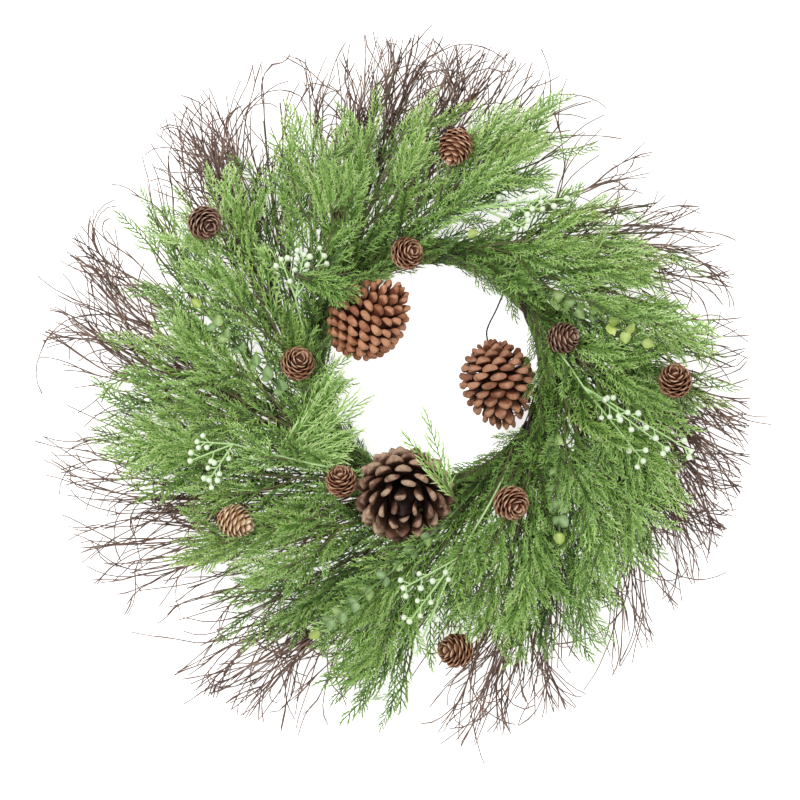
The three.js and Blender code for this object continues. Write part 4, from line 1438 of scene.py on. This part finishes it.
# %% Build a cone
GOLDEN_ANGLE = math.radians(137.508)
SCALE_UNRULY = math.radians(4)
CORE_RADII = {0.12: 0.5, 0.3: 0.9, 0.5: 1.0, 0.7: 0.75, 0.9: 0.12}
NARROWEST_SCALE = 0.5
SCALE_LENGTHS = (0.94, 1.05)
SCALE_WIDTHS = (0.94, 1.06)
PALE_FROM = 0.7
WOOD_TINT = 0.22
WOOD_DARKER = 0.16
WOOD_MOTTLING = 0.62


def between(low, high, share):
    """The value some share of the way from low to high."""
    return low + (high - low) * share


def cone_middle(node, cone, lift=0.0):
    """The middle of a cone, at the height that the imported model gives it."""
    low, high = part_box(node)
    return from_ring(*cone["at"], (low.z + high.z) / 2 + lift)


def build_cone(node, middle, cone, shape):
    """A cone as a bmesh. Cone says how it lies and how large it is, shape what its kind looks like."""
    rng = random.Random(node)
    bm = new_bmesh("tip", "shade")
    height, width = cone["height"], cone["width"]
    core = [Vector((0, 0, height * share)) for share in CORE_RADII]
    add(bm, rods([(core, [width * shape["core"] * radius for radius in CORE_RADII.values()])], sides=8))
    slopes = [math.radians(degrees) for degrees in shape["slopes"]]
    for i, share in enumerate(even_shares(shape["scales"])):
        spin = i * GOLDEN_ANGLE
        slope = between(*slopes, share ** shape["slope_power"]) + rng.gauss(0, SCALE_UNRULY)
        turn = Matrix.Rotation(spin, 4, "Z") @ Matrix.Rotation(-slope, 4, "Y")
        length = width * shape["length"] * rng.uniform(*SCALE_LENGTHS)
        fullness = cone_outline(share)
        end = Matrix.Rotation(spin, 3, "Z") @ Vector((0.5 * width * fullness, 0, height * share))
        root = end - turn.to_3x3() @ Vector((length, 0, 0))
        narrowing = between(NARROWEST_SCALE, 1.0, fullness)
        wide = width * shape["wide"] * narrowing * rng.uniform(*SCALE_WIDTHS)
        size = Matrix.Diagonal((length, wide, wide * shape["thick"], 1))
        shade = rng.random() + shape["pale_tip"] * max(0.0, share - PALE_FROM)
        paint(bm, add(bm, shape["scale"], Matrix.Translation(root) @ turn @ size), shade=shade)
    upright = Vector(cone["axis"]).normalized().to_track_quat("Z", "Y").to_matrix().to_4x4()
    shift = Matrix.Translation((0, 0, -height / 2))
    bmesh.ops.transform(bm, matrix=Matrix.Translation(middle) @ upright @ shift, verts=bm.verts)
    return bm


def cone_finish(name, stops):
    """Dark wood between the scales, warmer and paler towards the end of each."""
    finish = Finish(name, roughness=0.6)
    age = finish.carried("tip") + WOOD_TINT * finish.carried("shade") - WOOD_DARKER
    age = age + WOOD_MOTTLING * (finish.noise(scale=160.0, detail=4.0) - NOISE_MEAN)
    finish.colour(finish.ramp(age, stops))
    finish.bump(finish.noise(scale=700.0, detail=3.0), depth=0.0007, strength=0.6)
    return finish


print("scales to one turn of the spiral:", round(math.tau / GOLDEN_ANGLE, 2))

# %% [markdown]
# The three large cones differ. The upper left one is nearly shut, the one on the wire is half open, and the
# lowest is wide open, with a dark inside. One round of subdivision makes their scales bulge softly.

# %% Make the large cones
CLOSED_SHAPE = {
    "scale": WOODY_SCALE, "scales": 138, "slopes": (-68, 92), "slope_power": 0.85,
    "pale_tip": 0, "length": 0.36, "wide": 0.18, "thick": 0.80, "core": 0.34,
}
HALF_OPEN_SHAPE = {
    "scale": WOODY_SCALE, "scales": 104, "slopes": (-64, 90), "slope_power": 0.85,
    "pale_tip": 0, "length": 0.41, "wide": 0.215, "thick": 0.64, "core": 0.27,
}
OPEN_SHAPE = {
    "scale": WOODY_SCALE, "scales": 100, "slopes": (-52, 97), "slope_power": 0.9,
    "pale_tip": 0, "length": 0.46, "wide": 0.185, "thick": 0.56, "core": 0.18,
}
LARGE_CONES = [
    {"at": (-0.052, 0.044), "axis": (0.62, 0.56, 0.22), "height": 0.082, "width": 0.066,
     "shape": CLOSED_SHAPE,
     "stops": [(0.2, "4b281a"), (0.62, "7b442b"), (0.85, "a26747"), (1.0, "cc9370")]},
    {"at": (0.056, -0.0125), "axis": (0.2, -0.95, 0.12), "height": 0.080, "width": 0.065,
     "shape": HALF_OPEN_SHAPE,
     "stops": [(0.2, "41241a"), (0.62, "663e2a"), (0.85, "8f5a3f"), (1.0, "bd896a")]},
    {"at": (-0.0235, -0.1065), "axis": (-0.04, -0.42, 0.9), "height": 0.080, "width": 0.086,
     "shape": OPEN_SHAPE,
     "stops": [(0.2, "2b1a13"), (0.62, "4a3025"), (0.86, "785442"), (1.0, "c0a086")]},
]
CONE_LIFT = 0.0008

for i, cone in enumerate(LARGE_CONES, start=1):
    node = f"large_cone_{i}"
    bm = build_cone(node, cone_middle(node, cone, CONE_LIFT), cone, cone["shape"])
    finish = cone_finish(f"cone_wood_{i}", cone["stops"])
    piece = finished(to_mesh(bm), f"pine_cone_{i}", finish, "large_cone", node)
    rounding = piece.modifiers.new("rounding", "SUBSURF")
    rounding.levels = 1
    rounding.render_levels = 1
    print(piece.name, "has", triangles_in(piece.data), "triangles before rounding")

# %% [markdown]
# The small cones are another kind: thin, round scales that overlap like shingles, paler at their rims. One
# thin scale is a grid that is cupped, narrowed at its root and given a thickness. These cones are half
# shut, so their scales lie along the cone, and at the tip they lean in over it.

# %% Make the small cones
THIN_ROOT = 0.4
THIN_FULL_FROM = 0.7
THIN_ROUNDED = 0.34
THIN_ROUNDING_POWER = 2.4
THIN_CUP = 0.5
THIN_CURL = 0.25
THIN_THICKNESS = 0.16


def flat_grid(along_x, along_y):
    """A flat square of faces, one unit wide, that starts at the origin and runs along X."""
    bm = bmesh.new()
    bmesh.ops.create_grid(bm, x_segments=along_x, y_segments=along_y, size=0.5)
    bmesh.ops.translate(bm, vec=HALF_FORWARD, verts=bm.verts)
    return bm


def thicken(bm, thickness):
    """Gives a sheet of faces a second side."""
    bmesh.ops.recalc_face_normals(bm, faces=bm.faces)
    bmesh.ops.solidify(bm, geom=bm.faces[:], thickness=thickness)


def thin_scale():
    """A thin, cupped scale along X, one unit long and wide. Its upper side faces the axis of the cone."""
    bm = flat_grid(4, 4)
    for vert in bm.verts:
        x, y = vert.co.x, vert.co.y
        edge = abs(y) * 2
        widening = math.sin(min(1.0, x / THIN_FULL_FROM) * math.pi / 2)
        vert.co.y = y * (THIN_ROOT + (1 - THIN_ROOT) * widening)
        vert.co.x = x - THIN_ROUNDED * edge ** THIN_ROUNDING_POWER * x
        vert.co.z = THIN_CUP * edge * edge - THIN_CURL * x * x
    thicken(bm, THIN_THICKNESS)
    tip = bm.verts.layers.float.new("tip")
    for vert in bm.verts:
        vert[tip] = vert.co.x
    return to_mesh(bm, "thin_scale")


THIN_SCALE = thin_scale()
SMALL_SHAPE = {
    "scale": THIN_SCALE, "scales": 76, "slopes": (5, 92), "slope_power": 0.75,
    "pale_tip": 3, "length": 0.34, "wide": 0.36, "thick": 0.55, "core": 0.34,
}
SMALL_CONES = [
    {"at": (-0.189, 0.122), "axis": (0.35, -0.35, 0.87), "height": 0.029, "width": 0.027, "wood": "dark"},
    {"at": (0.019, 0.185), "axis": (-0.35, -0.8, 0.45), "height": 0.034, "width": 0.027, "wood": "red"},
    {"at": (-0.112, 0.006), "axis": (0.25, 0.35, 0.9), "height": 0.029, "width": 0.027, "wood": "red"},
    {"at": (-0.020, 0.098), "axis": (0.5, 0.1, 0.85), "height": 0.028, "width": 0.026, "wood": "red"},
    {"at": (0.111, 0.027), "axis": (0.75, 0.1, 0.6), "height": 0.029, "width": 0.025, "wood": "dark"},
    {"at": (0.204, -0.008), "axis": (-0.05, 0.55, 0.8), "height": 0.033, "width": 0.027, "wood": "red"},
    {"at": (-0.076, -0.092), "axis": (-0.1, 0.6, 0.78), "height": 0.030, "width": 0.025, "wood": "red"},
    {"at": (-0.163, -0.127), "axis": (0.85, -0.35, 0.4), "height": 0.033, "width": 0.026, "wood": "pale"},
    {"at": (0.067, -0.112), "axis": (0.4, -0.35, 0.85), "height": 0.030, "width": 0.028, "wood": "red"},
    {"at": (0.019, -0.237), "axis": (-0.8, 0.05, 0.6), "height": 0.032, "width": 0.028, "wood": "red"},
]
SMALL_WOODS = {
    "dark": [(0.3, "452b22"), (0.65, "704a3b"), (0.85, "95705c"), (1.1, "c3a58e")],
    "red": [(0.3, "502c1c"), (0.65, "8d5a40"), (0.85, "b38262"), (1.1, "e0ba9a")],
    "pale": [(0.3, "7a5230"), (0.65, "b58c67"), (0.85, "dcba94"), (1.1, "f6e2c4")],
}
small_finishes = {name: cone_finish(f"{name}_small_cone", stops) for name, stops in SMALL_WOODS.items()}

for i, cone in enumerate(SMALL_CONES, start=1):
    node = f"small_cone_{i}"
    bm = build_cone(node, cone_middle(node, cone), cone, SMALL_SHAPE)
    finished(to_mesh(bm), f"fir_cone_{i}", small_finishes[cone["wood"]], "small_cone", node)
print("a thin scale has", len(THIN_SCALE.polygons), "faces")

# %% [markdown]
# The right-hand cone hangs in the opening of the ring from a wire. Florists double the wire and twist it,
# so two thin strands wind round one line from the ring down into the base of the cone.

# %% Twist the wire
WIRE_FROM = {"degrees": 48, "radius": 0.094, "height": 0.0146}
WIRE_ABOVE = 0.58
WIRE_INSIDE = 0.36
WIRE_RADIUS = 0.00042
WIRE_WANDER = 0.00046
WIRE_TWIST = 1700
WIRE_PIECES = 40

hung = LARGE_CONES[1]
hung_axis = Vector(hung["axis"]).normalized()
hung_middle = cone_middle("large_cone_2", hung)
in_ring = round_ring(math.radians(WIRE_FROM["degrees"]), WIRE_FROM["radius"], WIRE_FROM["height"])
above_cone = hung_middle - hung_axis * WIRE_ABOVE * hung["height"]
in_cone = hung_middle - hung_axis * WIRE_INSIDE * hung["height"]
wire_line = smoothed([in_ring, in_ring.lerp(above_cone, 0.5), above_cone, in_cone], WIRE_PIECES)
wire_distances = along(wire_line)
wire_strands = []
for phase in (0, math.pi):
    strand = []
    for i, point in enumerate(wire_line):
        way = heading(wire_line, i)
        side = way.cross(UP).normalized()
        turn = wire_distances[i] * WIRE_TWIST + phase
        strand.append(point + (side * math.cos(turn) + way.cross(side) * math.sin(turn)) * WIRE_WANDER)
    wire_strands.append((strand, [WIRE_RADIUS] * len(strand)))
wire_finish = Finish("dark_wire", roughness=0.45, metallic=0.9)
wire_finish.colour(wire_finish.ramp(wire_finish.noise(scale=300.0), [(0.3, "1f1d1b"), (0.7, "4b4640")]))
finished(rods(wire_strands, sides=6), "wire", wire_finish, "wire", "cone_wire")
print("the wire is", round(wire_distances[-1] * 1000), "mm long")

# %% [markdown]
# The berry sprigs are pale all over, stem and fruit. A berry is a small ball, a little longer than wide,
# with a dimple at its end. Each branch of a sprig carries one at its end and several on stalks.

# %% Grow the berry sprigs
BERRY_RADIUS = 0.0026
BERRY_STRETCH = 1.06
DIMPLE_FROM = 0.8
DIMPLE_DEPTH = 0.9
FRESH_MIDDLE = 0.6
FRESHER_TO_END = 0.4
BERRY_STALK = 0.0085
BARE_SHARE = 0.5
SPRIG_RADIUS = 0.0010
STEM_SIZES = (1.2, 0.9)
BRANCH_SIZES = (1.0, 0.7)
STALK_TURN = (0.55, 1.0)
STALK_LIFT = (0.05, 0.35)
BRANCH_BOW = Vector((0, 0, 0.0015))
BRANCH_BOW_AT = 0.55
UNEVEN_HEIGHT = 0.002
STALK_BOW = Vector((0, 0, 0.0006))
STALK_LENGTHS = (0.75, 1.1)
STALK_THINNESS = 0.65
BERRY_SIZES = (0.85, 1.08)
BERRY_MOTTLING = 0.25
BERRY_STOPS = [(0.0, "bfe09a"), (0.2, "d6edb8"), (0.6, "eef9e0"), (0.95, "f6fbec")]


def berry():
    """A berry along X with its middle at the origin, one unit in radius."""
    bm = bmesh.new()
    bmesh.ops.create_uvsphere(bm, u_segments=10, v_segments=8, radius=1)
    bmesh.ops.rotate(bm, cent=(0, 0, 0), matrix=Z_TO_X, verts=bm.verts)
    tip = bm.verts.layers.float.new("tip")
    for vert in bm.verts:
        vert[tip] = FRESH_MIDDLE + FRESHER_TO_END * vert.co.x
        dimple = max(0.0, vert.co.x - DIMPLE_FROM)
        vert.co.x = vert.co.x * BERRY_STRETCH - dimple * DIMPLE_DEPTH
    return to_mesh(bm, "berry")


BERRY = berry()


def sprig_radii(line, thick, thin):
    """The radii of a stem of a sprig, given by its thickness at both ends."""
    return thinning(len(line), SPRIG_RADIUS * thick, SPRIG_RADIUS * thin)


def grow_berries(i, fork, ends):
    """A forked sprig. Each of its branches has berries on stalks, to both sides by turns."""
    rng = random.Random(f"berries {i}")
    bm = new_bmesh("tip")
    stem = smoothed(stem_path(root_through(*fork), SPRIG, math.hypot(*fork), 4), 4)
    strands = [(stem, sprig_radii(stem, *STEM_SIZES))]
    berries = []
    for k, (across, up) in enumerate(ends):
        height = SPRIG["height"](math.hypot(across, up)) + UNEVEN_HEIGHT * draw(i, k)
        end = from_ring(across, up, height)
        branch = smoothed([stem[-1], stem[-1].lerp(end, BRANCH_BOW_AT) + BRANCH_BOW, end], 5)
        strands.append((branch, sprig_radii(branch, *BRANCH_SIZES)))
        berries.append((end, heading(branch, len(branch) - 1)))
        side = 1
        for place in range(2, len(branch) - 1):
            if rng.random() < BARE_SHARE:
                continue
            side = -side
            way = turned(heading(branch, place), side * rng.uniform(*STALK_TURN), rng.uniform(*STALK_LIFT))
            stalk = BERRY_STALK * rng.uniform(*STALK_LENGTHS)
            beside = branch[place] + way * stalk
            bow = branch[place] + way * stalk * 0.5 + STALK_BOW
            strands.append(([branch[place], bow, beside], [SPRIG_RADIUS * STALK_THINNESS] * 3))
            berries.append((beside, way))
    add(bm, rods(strands, sides=4))
    for middle, way in berries:
        size = BERRY_RADIUS * rng.uniform(*BERRY_SIZES)
        add(bm, BERRY, laid(middle, way, size, size))
    return to_mesh(bm)


berry_finish = Finish("pale_berry", roughness=0.38, coat=0.15)
berry_mottling = BERRY_MOTTLING * (berry_finish.noise(scale=260.0) - NOISE_MEAN)
berry_age = berry_finish.carried("tip") + berry_mottling
berry_finish.colour(berry_finish.ramp(berry_age, BERRY_STOPS))
berry_finish.bump(berry_finish.noise(scale=500.0), depth=0.0002, strength=0.3)
for i, sprig in enumerate(BERRY_SPRIGS):
    finished(grow_berries(i, **sprig), f"berries_{i + 1}", berry_finish, "berry", f"berry_sprig_{i + 1}")
print("a berry has", len(BERRY.polygons), "faces")

# %% [markdown]
# Sprigs of eucalyptus bring round, grey-green leaves, some of them young and yellow. A leaf is a grid that
# is pulled to the outline of the leaf, creased along the middle, cupped, and given a thickness.

# %% Grow the leafy sprigs
LEAF_LENGTH = 0.0112
LEAF_WIDTH = 0.0098
LEAF_THICKNESS = 0.030
LEAF_SKEW = 0.85
LEAF_FULLNESS = 0.62
LEAF_STALK = 0.09
LEAFY_STEM_SIZES = (1.2, 0.6)
LEAF_STALK_TO = 0.1
LEAF_START = 0.03
LEAF_POINT = 0.02
LEAF_CREASE = 0.05
LEAFLESS = 0.45
LEAF_STEP = 0.0145
LEAF_TURN = (0.6, 1.15)
LEAF_LIFT = (-0.05, 0.45)
LEAF_ROLL = 0.6
LEAF_LENGTHS = (0.65, 1.08)
LEAF_WIDTHS = (0.85, 1.1)
LEAF_STEPS = (0.7, 1.3)
LAST_LEAF = 0.9
YELLOW_SPRIG = 1
YELLOWING = 0.7
YELLOW_FROM = 0.75
YELLOW_UNEVEN = (-0.35, 0.3)
VEIN_SHARE = 0.25
LEAF_DARKER = 0.1
LEAF_STOPS = [(0.25, "516d3f"), (0.5, "7d9d61"), (0.8, "a9c48c")]
YOUNG_LEAF_STOPS = [(0.25, "93ab45"), (0.5, "bccf63"), (0.8, "dce896")]


def leaf(cup, curl):
    """A leaf along X, one unit long and one wide."""
    bm = flat_grid(8, 6)
    vein = bm.verts.layers.float.new("tip")
    for vert in bm.verts:
        x, y = vert.co.x, vert.co.y
        edge = abs(y) * 2
        vert[vein] = 1 - edge
        narrowest = LEAF_STALK if x < LEAF_STALK_TO else LEAF_POINT
        share = min(1, LEAF_START + x)
        outline = max(narrowest, math.sin(math.pi * share ** LEAF_SKEW) ** LEAF_FULLNESS)
        vert.co.y = y * outline
        vert.co.z = cup * edge * edge * outline + LEAF_CREASE * edge - curl * x * x
    thicken(bm, LEAF_THICKNESS)
    return to_mesh(bm, "leaf")


LEAVES = [leaf(0.16, 0.10), leaf(0.08, 0.28), leaf(-0.10, -0.12), leaf(0.26, 0.34)]


def add_leaf(bm, rng, start, way, length, young):
    """Adds one leaf. The younger it is, the yellower."""
    width = length * LEAF_WIDTH / LEAF_LENGTH * rng.uniform(*LEAF_WIDTHS)
    roll = rng.uniform(-LEAF_ROLL, LEAF_ROLL)
    matrix = laid(start, way, length, 1.0, roll) @ Matrix.Diagonal((1, width, length, 1))
    paint(bm, add(bm, rng.choice(LEAVES), matrix), warm=young)


def grow_leaves(i, end):
    """A sprig with pairs of leaves on its outer part and one leaf at its end."""
    rng = random.Random(f"leaves {i}")
    bm = new_bmesh("tip", "warm")
    stem = smoothed(stem_path(root_through(*end), SPRIG, math.hypot(*end), 5), 4)
    add(bm, rods([(stem, sprig_radii(stem, *LEAFY_STEM_SIZES))], sides=4))
    distances = along(stem)
    length = distances[-1]
    where = LEAFLESS * length
    while where < length - LEAF_STEP / 2:
        start, onward = point_at(stem, distances, where)
        yellowing = YELLOWING if i == YELLOW_SPRIG and where > YELLOW_FROM * length else 0.0
        for side in (-1, 1):
            way = turned(onward, side * rng.uniform(*LEAF_TURN), rng.uniform(*LEAF_LIFT))
            young = max(0.0, yellowing + rng.uniform(*YELLOW_UNEVEN))
            add_leaf(bm, rng, start, way, LEAF_LENGTH * rng.uniform(*LEAF_LENGTHS), young)
        where += LEAF_STEP * rng.uniform(*LEAF_STEPS)
    add_leaf(bm, rng, stem[-1], heading(stem, len(stem) - 1), LEAF_LENGTH * LAST_LEAF, YELLOWING)
    return to_mesh(bm)


leaf_finish = Finish("leaf_green", roughness=0.5)
leaf_mottling = leaf_finish.noise(scale=90.0, detail=3.0)
leaf_age = leaf_mottling + VEIN_SHARE * leaf_finish.carried("tip") - LEAF_DARKER
leaf_cool = leaf_finish.ramp(leaf_age, LEAF_STOPS)
leaf_young = leaf_finish.ramp(leaf_age, YOUNG_LEAF_STOPS)
leaf_finish.colour(leaf_finish.mix(leaf_finish.carried("warm"), leaf_cool, leaf_young))
leaf_finish.bump(leaf_finish.noise(scale=380.0), depth=0.0004, strength=0.5)
for i, end in enumerate(LEAF_SPRIGS):
    finished(grow_leaves(i, end), f"leaves_{i + 1}", leaf_finish, "leaf", f"leaf_sprig_{i + 1}")
print("a leaf has", len(LEAVES[0].polygons), "faces")
